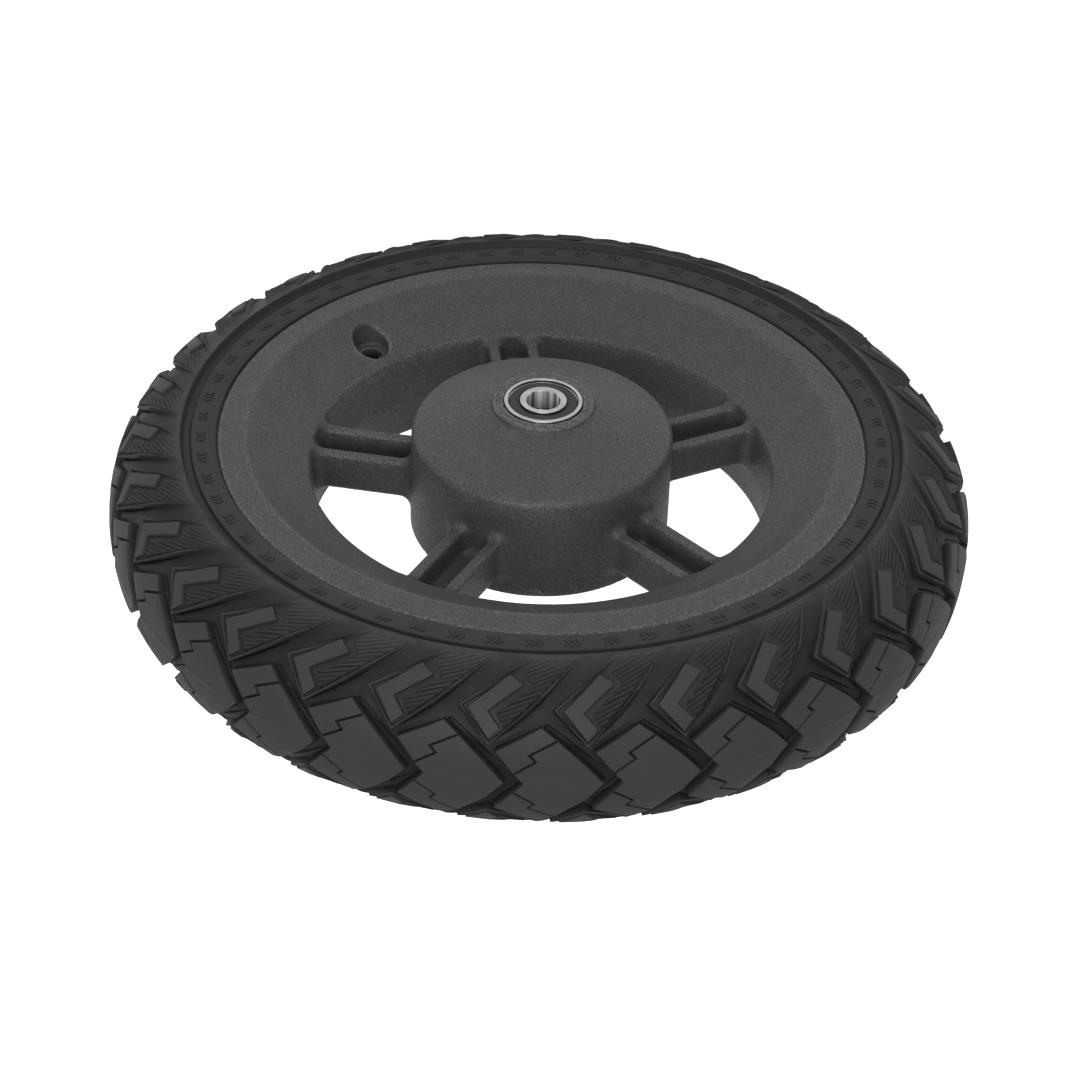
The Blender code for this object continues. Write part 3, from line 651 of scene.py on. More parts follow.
def tread_depth(x, v):
    """Depth of the tread below the tyre's outer surface at a place in the flat layout."""
    v = np.abs(v)
    floor = floor_depth(v)
    depth = floor.copy()
    shifts = [x - copy * PITCH for copy in (-2, -1, 0, 1)]
    for at in shifts:
        inside = ramp(outline_distance(at, v, BLOCK), WALL)
        depth = np.minimum(depth, floor + (TOP - floor) * inside)
        depth = np.minimum(depth, leaf_depth(at, v, floor))
    for at in shifts:
        deep = ramp(outline_distance(at, v, DEEP_GROOVE), DEEP_WALL)
        depth = np.maximum(depth, depth + (DEEP - depth) * deep)
        for sipe in SIPES:
            slit = ramp(outline_distance(at, v, sipe), SIPE_WALL)
            depth = np.maximum(depth, depth + (SIPE_DEPTH - depth) * slit)
    return depth - TOP * np.clip(1 - v / CREST, 0, 1) * (depth < 2 * TOP)


def rib_lines():
    """Valley and crest lines of the fine ribs, inside the hatched outline."""
    corners = [Vector(c) for c in HATCH]
    norm = hypot(1.0, RIB_SLOPE)
    places = [(c.y - RIB_SLOPE * c.x) / norm / RIB_SPACING for c in corners]
    lines = []
    for half_step in range(ceil(min(places) * 2), int(max(places) * 2) + 1):
        level = half_step / 2
        hits = []
        for i, here in enumerate(corners):
            a, b = places[i - 1], places[i]
            if (a > level) != (b > level):
                hits.append(corners[i - 1].lerp(here, (level - a) / (b - a)))
        hits.sort(key=lambda at: at.x)
        lines += [(tuple(a), tuple(b)) for a, b in zip(hits[::2], hits[1::2])]
    return lines


def outline_edges(outline):
    return list(zip(outline, outline[1:] + outline[:1]))


def tread_lines():
    """Every crease of the pattern: the foot and the top of each wall, and the ribs."""
    lines = []
    leaf = [(LEAF, WALL), (LEAF_RECESS, EDGE_WIDTH), (HATCH, EDGE_WIDTH), (PAD, EDGE_WIDTH)]
    for outline, width in leaf + [(sipe, SIPE_WALL) for sipe in SIPES]:
        lines += outline_edges(outline) + outline_edges(inset(outline, width))
    lines += rib_lines()
    mirrored = [((a[0], -a[1]), (b[0], -b[1])) for a, b in lines]
    for outline, width in ((BLOCK, WALL), (DEEP_GROOVE, DEEP_WALL)):
        mirrored += outline_edges(outline) + outline_edges(inset(outline, width))
    return lines + mirrored


def clipped(a, b, low, high):
    """The stretch of a line between two values of x, or None."""
    if a[0] > b[0]:
        a, b = b, a
    if b[0] <= low or a[0] >= high:
        return None
    a, b = Vector(a), Vector(b)
    run = b.x - a.x
    first = a.lerp(b, (low - a.x) / run) if a.x < low else a
    last = a.lerp(b, (high - a.x) / run) if b.x > high else b
    return (tuple(first), tuple(last))


def tread_tile():
    """Flat triangles of one pattern: points as (x, v), and faces."""
    lines = []
    for copy in (-2, -1, 0, 1, 2):
        shift = copy * PITCH
        for a, b in tread_lines():
            kept = clipped((a[0] + shift, a[1]), (b[0] + shift, b[1]), -1.5, PITCH + 1.5)
            if kept:
                lines.append(kept)
    rows = [TREAD_EDGE * k / TILE_ROWS for k in range(-TILE_ROWS, TILE_ROWS + 1)]
    columns = [PITCH * k / COLUMNS for k in range(COLUMNS + 1)]
    for x in (0.0, PITCH):
        lines += [((x, a), (x, b)) for a, b in zip(rows, rows[1:])]
    for v in (-TREAD_EDGE, TREAD_EDGE, -CREST, 0.0, CREST):
        lines += [((a, v), (b, v)) for a, b in zip(columns, columns[1:])]
    points = [end for line in lines for end in line]
    points += [(x, v) for x in columns[1:-1] for v in rows[1:-1]]
    edges = [(2 * i, 2 * i + 1) for i in range(len(lines))]
    found = delaunay_2d_cdt([Vector(at) for at in points], edges, [], 0, 1e-4)
    flat_points = np.array([tuple(at) for at in found[0]])
    faces = np.array(found[2])
    middle = flat_points[faces].mean(1)
    kept = (middle[:, 0] > 0) & (middle[:, 0] < PITCH)
    return flat_points, faces[kept]


def tyre_section(height, half_width, steps=600):
    """Tables of (distance along the outer surface, radius, z) for half of a superellipse."""
    angle = np.linspace(0.0, pi / 2, steps)
    radius = TYRE_CENTRE_R + height * np.cos(angle) ** (2 / TYRE_POWER)
    across = half_width * np.sin(angle) ** (2 / TYRE_POWER)
    along = np.concatenate([[0.0], np.cumsum(np.hypot(np.diff(radius), np.diff(across)))])
    return along, radius, across


def tread_place(x, v, depth):
    """Places in the wheel frame of points in the flat layout."""
    along, radius, across = tyre_section(TYRE_HEIGHT, TYRE_HALF_WIDTH)
    away = np.abs(v)
    r = np.interp(away, along, radius)
    z = np.interp(away, along, across)
    ahead = np.interp(away + 0.4, along, radius) - np.interp(away - 0.4, along, radius)
    rise = np.interp(away + 0.4, along, across) - np.interp(np.maximum(away - 0.4, 0), along, across)
    length = np.hypot(ahead, rise)
    r = r - depth * rise / length
    z = (z + depth * ahead / length) * np.sign(v)
    angle = np.radians(x / DEGREE)
    return np.stack([r * np.cos(angle), r * np.sin(angle), z], axis=-1)


def tyre_inside():
    """Section from the tread's edge down to the bead, round the cavity and back, on the spoked side first."""
    edge_r = RIM_EDGE_R + 0.45
    bead = [
        (128.9, RIDGE_Z + 1.45, 0.0),
        (128.3, RIDGE_Z - 0.5, 0.5),
        (127.9, RIDGE_Z - 1.3, 0.4),
        (125.7, RIDGE_Z - 1.3, 0.4),
        (125.2, BAND_Z, 0.45),
        (119.0, BAND_Z, 3.0),
        (edge_r, RIDGE_Z - 0.5, 0.5),
        (edge_r, FLANGE_IN_Z + 0.6, 0.4),
        (114.0, FLANGE_IN_Z - 0.4, 1.0),
        (SEAT_R + SEAT_CHAMFER + 0.6, FLANGE_IN_Z - 0.4, 0.5),
        (SEAT_R + 0.4, FLANGE_IN_Z - SEAT_CHAMFER - 0.6, 1.0),
        (SEAT_R + 0.4, 17.6, 1.0),
    ]
    _, radius, across = tyre_section(TYRE_HEIGHT - CROWN_THICK, TYRE_HALF_WIDTH - SIDE_THICK, 14)
    cavity = [(r, z, 0.0) for r, z in zip(radius, across) if r > SEAT_R + 14]
    half = bead + [(cavity[-1][0] - 4.0, cavity[-1][1] - 0.4, 0.0)] + cavity[::-1]
    section = rounded(half)
    return section + [(r, -z) for r, z in reversed(section[:-1])]


def tyre_pattern():
    """One pattern of the tyre: tread on the outside, plain section inside. Points, depths and faces."""
    flat_points, faces = tread_tile()
    depth = tread_depth(flat_points[:, 0], flat_points[:, 1])
    tile = tread_place(flat_points[:, 0], flat_points[:, 1], depth)
    ends = tread_place(np.zeros(2), np.array([TREAD_EDGE, -TREAD_EDGE]), np.full(2, LIP))
    first, last = [(end[0], end[2]) for end in ends]
    section = [first] + tyre_inside() + [last]
    rows = len(section)
    strip_points, strip = [], []
    for column in range(COLUMNS + 1):
        angle = radians(PITCH_DEGREES * column / COLUMNS)
        strip_points += [(*polar(r, angle), z) for r, z in section]
    for column in range(COLUMNS):
        for row in range(rows - 1):
            a = column * rows + row
            strip += [(a, a + 1, a + rows), (a + 1, a + rows + 1, a + rows)]
    points = np.concatenate([tile, np.array(strip_points)])
    depths = np.concatenate([depth, np.full(len(strip_points), BEAD_SHADE)])
    return points, depths, np.concatenate([faces, np.array(strip) + len(tile)])


def store_depths(made, depths):
    """Keeps the tread's depth at each point, which the rubber's finish reads."""
    stored = made.data.attributes.new("depth", "FLOAT", "POINT")
    stored.data.foreach_set("value", np.asarray(depths, np.float32))


def tyre():
    pattern, depths, faces = tyre_pattern()
    points, all_faces = [], []
    for index in range(PITCHES):
        angle = radians(PITCH_DEGREES * index + TREAD_PHASE)
        turn = np.array([[cos(angle), sin(angle), 0], [-sin(angle), cos(angle), 0], [0, 0, 1]])
        points.append(pattern @ turn)
        all_faces.append(faces + index * len(pattern))
    shape = (np.concatenate(points), np.concatenate(all_faces).tolist())
    made = piece("tyre_tread", shape, "tyre")
    store_depths(made, np.tile(depths, PITCHES))
    weld(made, MERGE_TREAD, SHARP_RUBBER)


def bead_marks():
    """Small plain chevrons raised from the bead's band, evenly round both sides."""
    chevron = [(0.0, 0.0), (1.2, 1.6), (0.0, 3.2), (0.8, 3.2), (2.0, 1.6), (0.8, 0.0)]
    heights = (BAND_Z - MARK_SUNK, BAND_Z + MARK_RAISED)
    shapes = []
    for index in range(MARKS):
        turn = Matrix.Rotation(index * tau / MARKS, 2)
        for along in MARK_PLACES:
            flat_mark = [turn @ Vector((MARK_R + r, x + along)) for x, r in chevron]
            for side in (1, -1):
                shapes.append(lofted([[(*at, side * z) for at in flat_mark] for z in heights]))
    made = piece("bead_marks", merged(shapes), None, slot=SLOTS["tyre"])
    store_depths(made, np.full(len(made.data.vertices), BEAD_SHADE))
    weld(made, MERGE_LATHED, SHARP_RUBBER)


# ---------------------------------------------------------------- finishes


class Nodes:
    """The node tree of a material or the sky, with short calls for the nodes that are used here."""

    def __init__(self, owner, shader="Principled BSDF", coordinates="Object"):
        owner.use_nodes = True
        self.owner = owner
        self.tree = owner.node_tree
        self.shader = self.tree.nodes[shader]
        self.where = self.add("ShaderNodeTexCoord").outputs[coordinates]

    def plug(self, socket, value):
        if isinstance(value, bpy.types.NodeSocket):
            self.tree.links.new(value, socket)
        elif isinstance(value, tuple) and len(value) == 3 and socket.type == "RGBA":
            socket.default_value = (*value, 1.0)
        else:
            socket.default_value = value

    def add(self, kind, inputs=(), **settings):
        made = self.tree.nodes.new(kind)
        for key, value in settings.items():
            setattr(made, key, value)
        for key, value in dict(inputs).items():
            self.plug(made.inputs[key], value)
        return made

    def math(self, operation, a, b=0.0):
        return self.add("ShaderNodeMath", {0: a, 1: b}, operation=operation).outputs[0]

    def range(self, value, low, high, to_low=0.0, to_high=1.0):
        """Maps low..high to to_low..to_high, held at both ends."""
        inputs = {"Value": value, "From Min": low, "From Max": high, "To Min": to_low, "To Max": to_high}
        return self.add("ShaderNodeMapRange", inputs).outputs["Result"]

    def colours(self, share, first, second):
        made = self.add("ShaderNodeMix", {0: share}, data_type="RGBA")
        self.plug(made.inputs[6], first)
        self.plug(made.inputs[7], second)
        return made.outputs[2]

    def noise(self, size, detail=2.0, where=None):
        """Noise with a grain of about this many millimetres."""
        inputs = {"Vector": where or self.where, "Scale": 1 / (size * MM), "Detail": detail}
        return self.add("ShaderNodeTexNoise", inputs).outputs["Fac"]

    def cells(self, size, where=None):
        """One random value for each cell of about this many millimetres."""
        inputs = {"Vector": where or self.where, "Scale": 1 / (size * MM)}
        cell = self.add("ShaderNodeTexVoronoi", inputs)
        return self.add("ShaderNodeSeparateColor", {0: cell.outputs["Color"]}).outputs[0]

    def axle(self):
        """(radius, angle, place along the axle) about the wheel's axle, in metres and radians."""
        split = self.add("ShaderNodeSeparateXYZ", {0: self.where}).outputs
        across = self.math("MULTIPLY", split[0], split[0])
        upright = self.math("MULTIPLY", split[2], split[2])
        radius = self.math("SQRT", self.math("ADD", across, upright))
        return radius, self.math("ARCTAN2", split[2], split[0]), split[1]

    def rings(self, size):
        """Noise that is the same all the way round the axle, for turned and ground faces."""
        radius, _, along = self.axle()
        return self.noise(size, 3.0, self.add("ShaderNodeCombineXYZ", {0: radius, 1: along}).outputs[0])

    def bump(self, heights):
        """Bumps from (height 0..1, depth in millimetres) pairs, added up."""
        normal = None
        for height, depth in heights:
            made = self.add("ShaderNodeBump", {"Height": height, "Distance": depth * MM, "Strength": 1.0})
            if normal:
                self.plug(made.inputs["Normal"], normal)
            normal = made.outputs["Normal"]
        self.plug(self.shader.inputs["Normal"], normal)

    def surface(self, colour, roughness, metallic=0.0, specular=0.5):
        self.plug(self.shader.inputs["Base Color"], colour)
        self.plug(self.shader.inputs["Roughness"], roughness)
        self.plug(self.shader.inputs["Metallic"], metallic)
        self.plug(self.shader.inputs["Specular IOR Level"], specular)
        return self.owner


def material(name):
    return Nodes(bpy.data.materials.new(name))


def powder_coat():
    """Fine-textured dark grey powder coat: a sandy grain, a slight mottle, sparse bright flecks painted as
    glints, and convex edges painted paler as a highlight.
    """
    n = material("powder_coated_casting")
    grain = n.noise(0.55, 3.0)
    fine = n.noise(0.2, 2.0)
    mottle = n.noise(9.0, 2.0)
    # Painted glints: sparse small cells are made brighter in the colour, as sparkle.
    painted_glint = n.range(n.cells(0.42), 0.84, 1.0)
    # Painted highlight: convex edges, found by pointiness and broken up by the grain, are made paler to stand
    # for the light they catch.
    painted_edge_highlight = n.range(n.add("ShaderNodeNewGeometry").outputs["Pointiness"], 0.507, 0.56)
    painted_edge_highlight = n.math("MULTIPLY", painted_edge_highlight, n.range(grain, 0.45, 0.58))
    base = n.colours(n.range(mottle, 0.35, 0.65), (0.038, 0.038, 0.039), (0.044, 0.044, 0.045))
    base = n.colours(n.range(n.noise(0.5, 3.0), 0.5, 0.68, 0.0, 0.7), base, (0.075, 0.075, 0.076))
    base = n.colours(painted_edge_highlight, base, (0.15, 0.15, 0.152))
    base = n.colours(n.math("MULTIPLY", painted_glint, 0.45), base, (0.12, 0.12, 0.12))
    n.bump([(grain, 0.11), (fine, 0.03)])
    n.plug(n.shader.inputs["Coat Weight"], n.range(grain, 0.45, 0.62, 0.0, 0.5))
    n.plug(n.shader.inputs["Coat Roughness"], 0.28)
    n.plug(n.shader.inputs["Coat Normal"], n.shader.inputs["Normal"].links[0].from_socket)
    return n.surface(base, n.range(fine, 0.3, 0.7, 0.45, 0.65), 0.0, 0.3)


def tyre_rubber():
    """Moulded rubber, darker with the tread's depth: partly painted shade in the channels and recesses,
    partly darker rubber on their floors; with mould grain and dust.
    """
    n = material("tyre_rubber")
    depth = n.add("ShaderNodeAttribute", attribute_name="depth").outputs["Fac"]
    grain = n.noise(0.35, 3.0)
    mottle = n.noise(14.0, 3.0)
    pale = n.colours(n.range(mottle, 0.3, 0.7), (0.032, 0.032, 0.033), (0.038, 0.038, 0.039))
    # Partly painted shade: the colour darkens with depth so channels and recesses look shaded; the channel
    # floors are also a darker rubber.
    low = n.colours(n.range(depth, 0.3, 1.3), pale, (0.018, 0.018, 0.019))
    low = n.colours(n.range(depth, 1.3, 2.6), low, (0.010, 0.010, 0.011))
    dust = n.math("MULTIPLY", n.range(n.noise(2.2, 4.0), 0.55, 0.75), 0.25)
    base = n.colours(dust, low, (0.035, 0.035, 0.035))
    n.bump([(grain, 0.035), (n.noise(1.4, 2.0), 0.04)])
    return n.surface(base, n.range(mottle, 0.3, 0.7, 0.52, 0.66), 0.0, 0.26)


def ground_steel():
    """Ground steel: rings round the axle and faint stains, and a duller bore whose colour has painted
    reflections, light and dark stripes along it.
    """
    n = material("ground_steel")
    colour, roughness = (0.52, 0.52, 0.51), 0.22
    lines = n.rings(0.12)
    stain = n.noise(3.5, 3.0)
    darker = tuple(0.8 * c for c in colour)
    base = n.colours(n.range(stain, 0.35, 0.7), colour, darker)
    radius, angle, _ = n.axle()
    # Painted reflection: light and dark stripes round the bore stand for the surroundings mirrored in it and
    # the light coming through.
    reflection_streaks = n.noise(550.0, 1.0, n.add("ShaderNodeCombineXYZ", {0: angle}).outputs[0])
    bore = n.range(radius, 6.2 * MM, 6.1 * MM)
    painted_reflections = n.colours(n.range(reflection_streaks, 0.4, 0.6), (0.06, 0.06, 0.06), (0.6, 0.6, 0.59))
    base = n.colours(bore, base, painted_reflections)
    n.bump([(lines, 0.008), (n.noise(0.3), 0.003)])
    ground = n.range(lines, 0.3, 0.7, roughness - 0.06, roughness + 0.08)
    rough = n.math("MAXIMUM", ground, n.math("MULTIPLY", bore, 0.5))
    return n.surface(base, rough, n.range(bore, 0.0, 1.0, 1.0, 0.2))


def zinc_steel():
    n = material("screw_steel")
    crystals = n.cells(0.5)
    base = n.colours(crystals, (0.50, 0.51, 0.53), (0.38, 0.39, 0.40))
    n.bump([(n.noise(0.25), 0.01)])
    return n.surface(base, n.range(n.noise(0.8), 0.3, 0.7, 0.25, 0.42), 1.0)


def blackened_steel():
    n = material("blackened_steel")
    cloud = n.noise(2.5, 4.0)
    base = n.colours(n.range(cloud, 0.35, 0.65), (0.035, 0.035, 0.038), (0.075, 0.07, 0.065))
    n.bump([(n.noise(0.3), 0.012)])
    return n.surface(base, n.range(cloud, 0.3, 0.7, 0.35, 0.5), 0.9)


def machined_aluminium():
    """Die-cast aluminium with a faint darker skin, a cloudy tone and turned rings."""
    n = material("machined_aluminium")
    skin = n.noise(0.7, 3.0)
    cloud = n.noise(11.0, 3.0)
    lines = n.rings(0.22)
    base = n.colours(n.range(cloud, 0.3, 0.7), (0.52, 0.525, 0.53), (0.42, 0.425, 0.43))
    base = n.colours(n.range(skin, 0.6, 0.75, 0.0, 0.35), base, (0.3, 0.3, 0.305))
    n.bump([(lines, 0.012), (skin, 0.02)])
    return n.surface(base, n.range(skin, 0.3, 0.7, 0.34, 0.5), 1.0)


def laminations():
    """Stacked sheets of varnished steel, 0.35 mm each."""
    n = material("electrical_steel")
    along = n.axle()[2]
    sheet = n.math("PINGPONG", along, 0.35 * MM / 2)
    edge = n.range(sheet, 0.0, 0.05 * MM)
    base = n.colours(edge, (0.05, 0.05, 0.055), (0.22, 0.225, 0.24))
    base = n.colours(n.range(n.noise(2.0, 3.0), 0.5, 0.75, 0.0, 0.5), base, (0.12, 0.09, 0.07))
    n.bump([(edge, 0.02)])
    return n.surface(base, 0.45, 0.85)


def nickel_plate():
    n = material("nickel_plate")
    cloud = n.noise(1.8, 3.0)
    base = n.colours(cloud, (0.58, 0.57, 0.53), (0.46, 0.45, 0.43))
    n.bump([(n.noise(0.22), 0.006)])
    return n.surface(base, n.range(cloud, 0.3, 0.7, 0.2, 0.36), 1.0)


def copper_windings():
    """Enamelled wire laid turn by turn: round ridges 0.7 mm apart, stacked outwards from the axle."""
    n = material("enamelled_copper")
    radius = n.axle()[0]
    turn = n.math("PINGPONG", radius, 0.7 * MM / 2)
    ridge = n.math("POWER", n.range(turn, 0.0, 0.35 * MM), 0.5)
    # Painted shade and highlight: the colour darkens into the valleys between turns and is brightest on their
    # crests.
    base = n.colours(ridge, (0.12, 0.03, 0.01), (0.62, 0.2, 0.07))
    base = n.colours(n.range(n.noise(3.0, 3.0), 0.4, 0.7, 0.0, 0.4), base, (0.4, 0.11, 0.04))
    n.bump([(ridge, 0.18)])
    return n.surface(base, 0.3, 0.85)


def insulation_board():
    n = material("insulation_board")
    fibre = n.noise(0.5, 4.0)
    base = n.colours(n.range(fibre, 0.35, 0.65), (0.62, 0.57, 0.44), (0.74, 0.70, 0.58))
    n.bump([(fibre, 0.04)])
    return n.surface(base, n.range(fibre, 0.3, 0.7, 0.55, 0.7))


def circuit_board():
    """Green mask over copper tracks, with tinned pads where the cells are smallest."""
    n = material("circuit_board")
    inputs = {"Vector": n.where, "Scale": 1 / (2.6 * MM)}
    tracks = n.add("ShaderNodeTexVoronoi", inputs, distance="MANHATTAN").outputs["Distance"]
    pads = n.range(tracks, 0.14, 0.1)
    raised = n.range(tracks, 0.52, 0.56)
    base = n.colours(raised, (0.012, 0.09, 0.035), (0.03, 0.17, 0.06))
    base = n.colours(pads, base, (0.55, 0.55, 0.52))
    n.bump([(raised, 0.03), (pads, 0.05)])
    return n.surface(base, n.range(pads, 0.0, 1.0, 0.35, 0.25), pads)


def dark_moulding(name, colour, roughness, grain, depth, rings=0.0):
    """Black rubber or plastic: mould grain, slight mottle, and turned mould lines where rings is given."""
    n = material(name)
    texture = n.noise(grain, 3.0)
    mottle = n.noise(6.0, 2.0)
    paler = tuple(1.6 * c for c in colour)
    base = n.colours(n.range(mottle, 0.3, 0.7), colour, paler)
    heights = [(texture, depth)]
    if rings:
        heights.append((n.rings(rings), 0.02))
    n.bump(heights)
    return n.surface(base, n.range(texture, 0.3, 0.7, roughness - 0.06, roughness + 0.08), 0.0, 0.4)


SLOTS = {part["node"]: part["material_slot"] for part in frame["record"]["subparts"]}
FINISH = {
    "tyre_rubber": tyre_rubber(),
    "powder_coated_casting": powder_coat(),
    "machined_aluminium": machined_aluminium(),
    "ground_steel": ground_steel(),
    "screw_steel": zinc_steel(),
    "blackened_steel": blackened_steel(),
    "electrical_steel": laminations(),
    "nickel_plate": nickel_plate(),
    "enamelled_copper": copper_windings(),
    "insulation_board": insulation_board(),
    "circuit_board": circuit_board(),
    "seal_rubber": dark_moulding("seal_rubber", (0.012, 0.012, 0.013), 0.5, 0.25, 0.02, 0.5),
    "cable_sheath": dark_moulding("cable_sheath", (0.018, 0.018, 0.019), 0.55, 0.4, 0.02),
    "plug_plastic": dark_moulding("plug_plastic", (0.02, 0.02, 0.021), 0.4, 0.3, 0.03),
}


def finish_cad_nodes():
    """Every CAD node that stays in view gets the finish of its slot in the record."""
    for name, shown in frame["nodes"].items():
        shown.data.materials.clear()
        shown.data.materials.append(FINISH[SLOTS[name]])


# ---------------------------------------------------------------- bearings, spindle, cover and lead

FRONT_BORE = 6.0
REAR_BORE = 10.25
RACE_GROOVE = 0.45
BALL_SHARE = 0.228            # half the race groove's width, as a share of the ring's height
OUTER_RING_SHARE = 0.21       # thickness of the rings, as shares of the bearing's own
INNER_RING_SHARE = 0.29
RING_STEPS = 96
SEAL_STEP = 0.32              # how far the outer ring's ends step back for the seal's rim
SEAL_THICK = 0.7
VALVE_HEAD_R = 5.4
VALVE_HEAD_Z = -12.0          # heights on the valve count from the pocket's floor
VALVE_TOP_Z = -1.2
VALVE_BORE_Z = -9.0
SPINDLE_R = 10.0
SPINDLE_BORE_R = 6.15
NOSE_R = 8.1
NOSE_START = 27.0
REAR_COLLAR = (-16.3, -13.8)
CARRIER_COLLAR = (-2.8, -0.3)
CLIP_GROOVE = (20.3, 22.0)
CLIP_DEPTH = 1.0
SHOULDER_Z = 25.0
TORQUE_FLAT = 8.5
FLAT_LENGTH = 6.5
KEY_HALF = 2.15
KEY_FLOOR = 8.0
KEY_Z = (3.5, 16.5)
CABLE_SLOT_HALF = 3.4
CABLE_SLOT_FLOOR = 7.0
COVER_LIP_R = 14.4
FLANGE_R = 39.2
FLANGE_INSIDE = DRUM_BOTTOM + 3.0
FLANGE_STEPS = 120
SPIGOT_R = 37.6
SCREW_HEAD_R = 2.1
SCREW_R = 1.15
SCREW_END = 1.6
SCREW_SINK = 1.5              # depth of the head's pocket in the cover
SOCKET_HALF = 0.85
CABLE_HALF_WIDTH = 2.9
CABLE_HALF_THICK = 1.2
CONDUCTORS = (-1.7, 0.0, 1.7)
CABLE_Y = 8.5
CABLE_BEND_R = 6.0
CABLE_START_Z = -4.5
PLUG_WALL = 1.8
PLUG_FILLET = 1.6
GRIP_GROOVES = 5
GRIP_PITCH = 1.9
SOCKET_DEPTH = 9.0
PIN_R = 0.45
PIN_PLACES = [(x, z) for x in (-4.0, 0.0, 4.0) for z in (-1.2, 1.2)]


def outer_ring(name, low, high, outer, land, node):
    """Outer bearing ring: race groove, and a shallow step at each end that holds the seal's rim."""
    middle = (low + high) / 2
    race = BALL_SHARE * (outer - land) / OUTER_RING_SHARE
    step = land + SEAL_STEP
    groove = land + RACE_GROOVE
    corners = [
        (step, low, 0.1), (outer, low, 0.35), (outer, high, 0.35), (step, high, 0.1),
        (step - 0.05, high - 1.0, 0.1), (land, high - 1.15, 0.0),
        (land, middle + race, 0.1), (groove, middle + 0.4 * race, 0.8),
        (groove, middle - 0.4 * race, 0.8), (land, middle - race, 0.1),
        (land, low + 1.15, 0.0), (step - 0.05, low + 1.0, 0.1),
    ]
    welded(name, turned(corners, RING_STEPS), node)


def inner_ring(name, low, high, bore, land, node):
    middle = (low + high) / 2
    race = BALL_SHARE * (land - bore) / INNER_RING_SHARE
    groove = land - RACE_GROOVE
    corners = [
        (bore, low, 0.6), (land, low, 0.15), (land, middle - race, 0.1),
        (groove, middle - 0.4 * race, 0.8), (groove, middle + 0.4 * race, 0.8),
        (land, middle + race, 0.1), (land, high, 0.15), (bore, high, 0.6),
    ]
    welded(name, turned(corners, RING_STEPS), node, "stator")


def seal(name, face, outwards, inner, outer, node):
    """Rubber seal: flat face, a rounded rim sunk in the outer ring and a thin lip towards the inner ring.

    face is the height of the seal's outside, and outwards is 1 or -1, the way that side faces along Z."""
    def at(radius, depth, fillet):
        return (radius, face - outwards * depth, fillet)

    corners = [
        at(inner, 0.3, 0.1), at(inner, SEAL_THICK, 0.1), at(outer, SEAL_THICK, 0.1), at(outer, 0.2, 0.15),
        at(outer - 0.28, 0.12, 0.1), at(outer - 0.45, 0.0, 0.1), at(inner + 0.75, 0.0, 0.1),
        at(inner + 0.55, 0.22, 0.1),
    ]
    welded(name, turned(corners, RING_STEPS), node)


def bearing(name, bore):
    """Both rings of one bearing and its outside seal; its other parts stay as the CAD made them."""
    outer, low, high = turned_box(name + "_bearing_outer_ring")
    inner_land = turned_box(name + "_bearing_inner_ring")[0]
    outer_land = outer - OUTER_RING_SHARE * (outer - bore)
    outer_ring(name + "_ring_outside", low, high, outer, outer_land, name + "_bearing_outer_ring")
    inner_ring(name + "_ring_inside", low, high, bore, inner_land, name + "_bearing_inner_ring")
    seal_r, seal_low, seal_high = turned_box(name + "_bearing_outer_seal")
    outwards = 1 if seal_high > 0 else -1
    face = seal_high if outwards > 0 else seal_low
    seal(name + "_seal_outside", face, outwards, inner_land + 0.25, seal_r, name + "_bearing_outer_seal")


def valve():
    """Snap-in rubber valve that ends just below the pocket's floor; its deep bore looks black."""
    neck = VALVE_HOLE_R - 0.15
    corners = [
        (0.0, VALVE_HEAD_Z, 0.0), (VALVE_HEAD_R, VALVE_HEAD_Z, 0.5), (VALVE_HEAD_R, VALVE_HEAD_Z + 2.4, 0.6),
        (neck - 0.2, -6.6, 0.4), (neck - 0.2, -3.0, 0.2), (neck, -2.4, 0.3), (neck - 0.2, VALVE_TOP_Z, 0.35),
        (3.1, VALVE_TOP_Z, 0.25), (2.8, VALVE_TOP_Z - 1.0, 0.2), (2.6, VALVE_BORE_Z, 0.3),
        (0.0, VALVE_BORE_Z, 0.0),
    ]
    place = Matrix.Rotation(VALVE_ANGLE, 4, "Z") @ Matrix.Translation((VALVE_R, 0.0, VALVE_FLOOR_Z))
    welded("tyre_valve", turned(corners, 48, place), "valve")


def spindle_corners():
    nose = FRONT_LOW - 0.3
    rear_low, rear_high = REAR_COLLAR
    carrier_low, carrier_high = CARRIER_COLLAR
    clip_low, clip_high = CLIP_GROOVE
    return [
        (SPINDLE_BORE_R, SPINDLE_END, 0.5), (SPINDLE_R, SPINDLE_END, 0.6),
        (SPINDLE_R, rear_low, 0.2), (COLLAR_R, rear_low, 0.3),
        (COLLAR_R, rear_high, 0.3), (SPINDLE_R, rear_high, 0.4),
        (SPINDLE_R, carrier_low, 0.4), (COLLAR_R, carrier_low, 0.3),
        (COLLAR_R, carrier_high, 0.3), (SPINDLE_R, carrier_high, 0.2),
        (SPINDLE_R, clip_low, 0.0), (SPINDLE_R - CLIP_DEPTH, clip_low, 0.1),
        (SPINDLE_R - CLIP_DEPTH, clip_high, 0.1), (SPINDLE_R, clip_high, 0.0),
        (SPINDLE_R, SHOULDER_Z, 0.4), (NOSE_R, NOSE_START, 0.6), (NOSE_R, nose, 0.3),
        (SPINDLE_BORE_R, nose, 0.3),
    ]


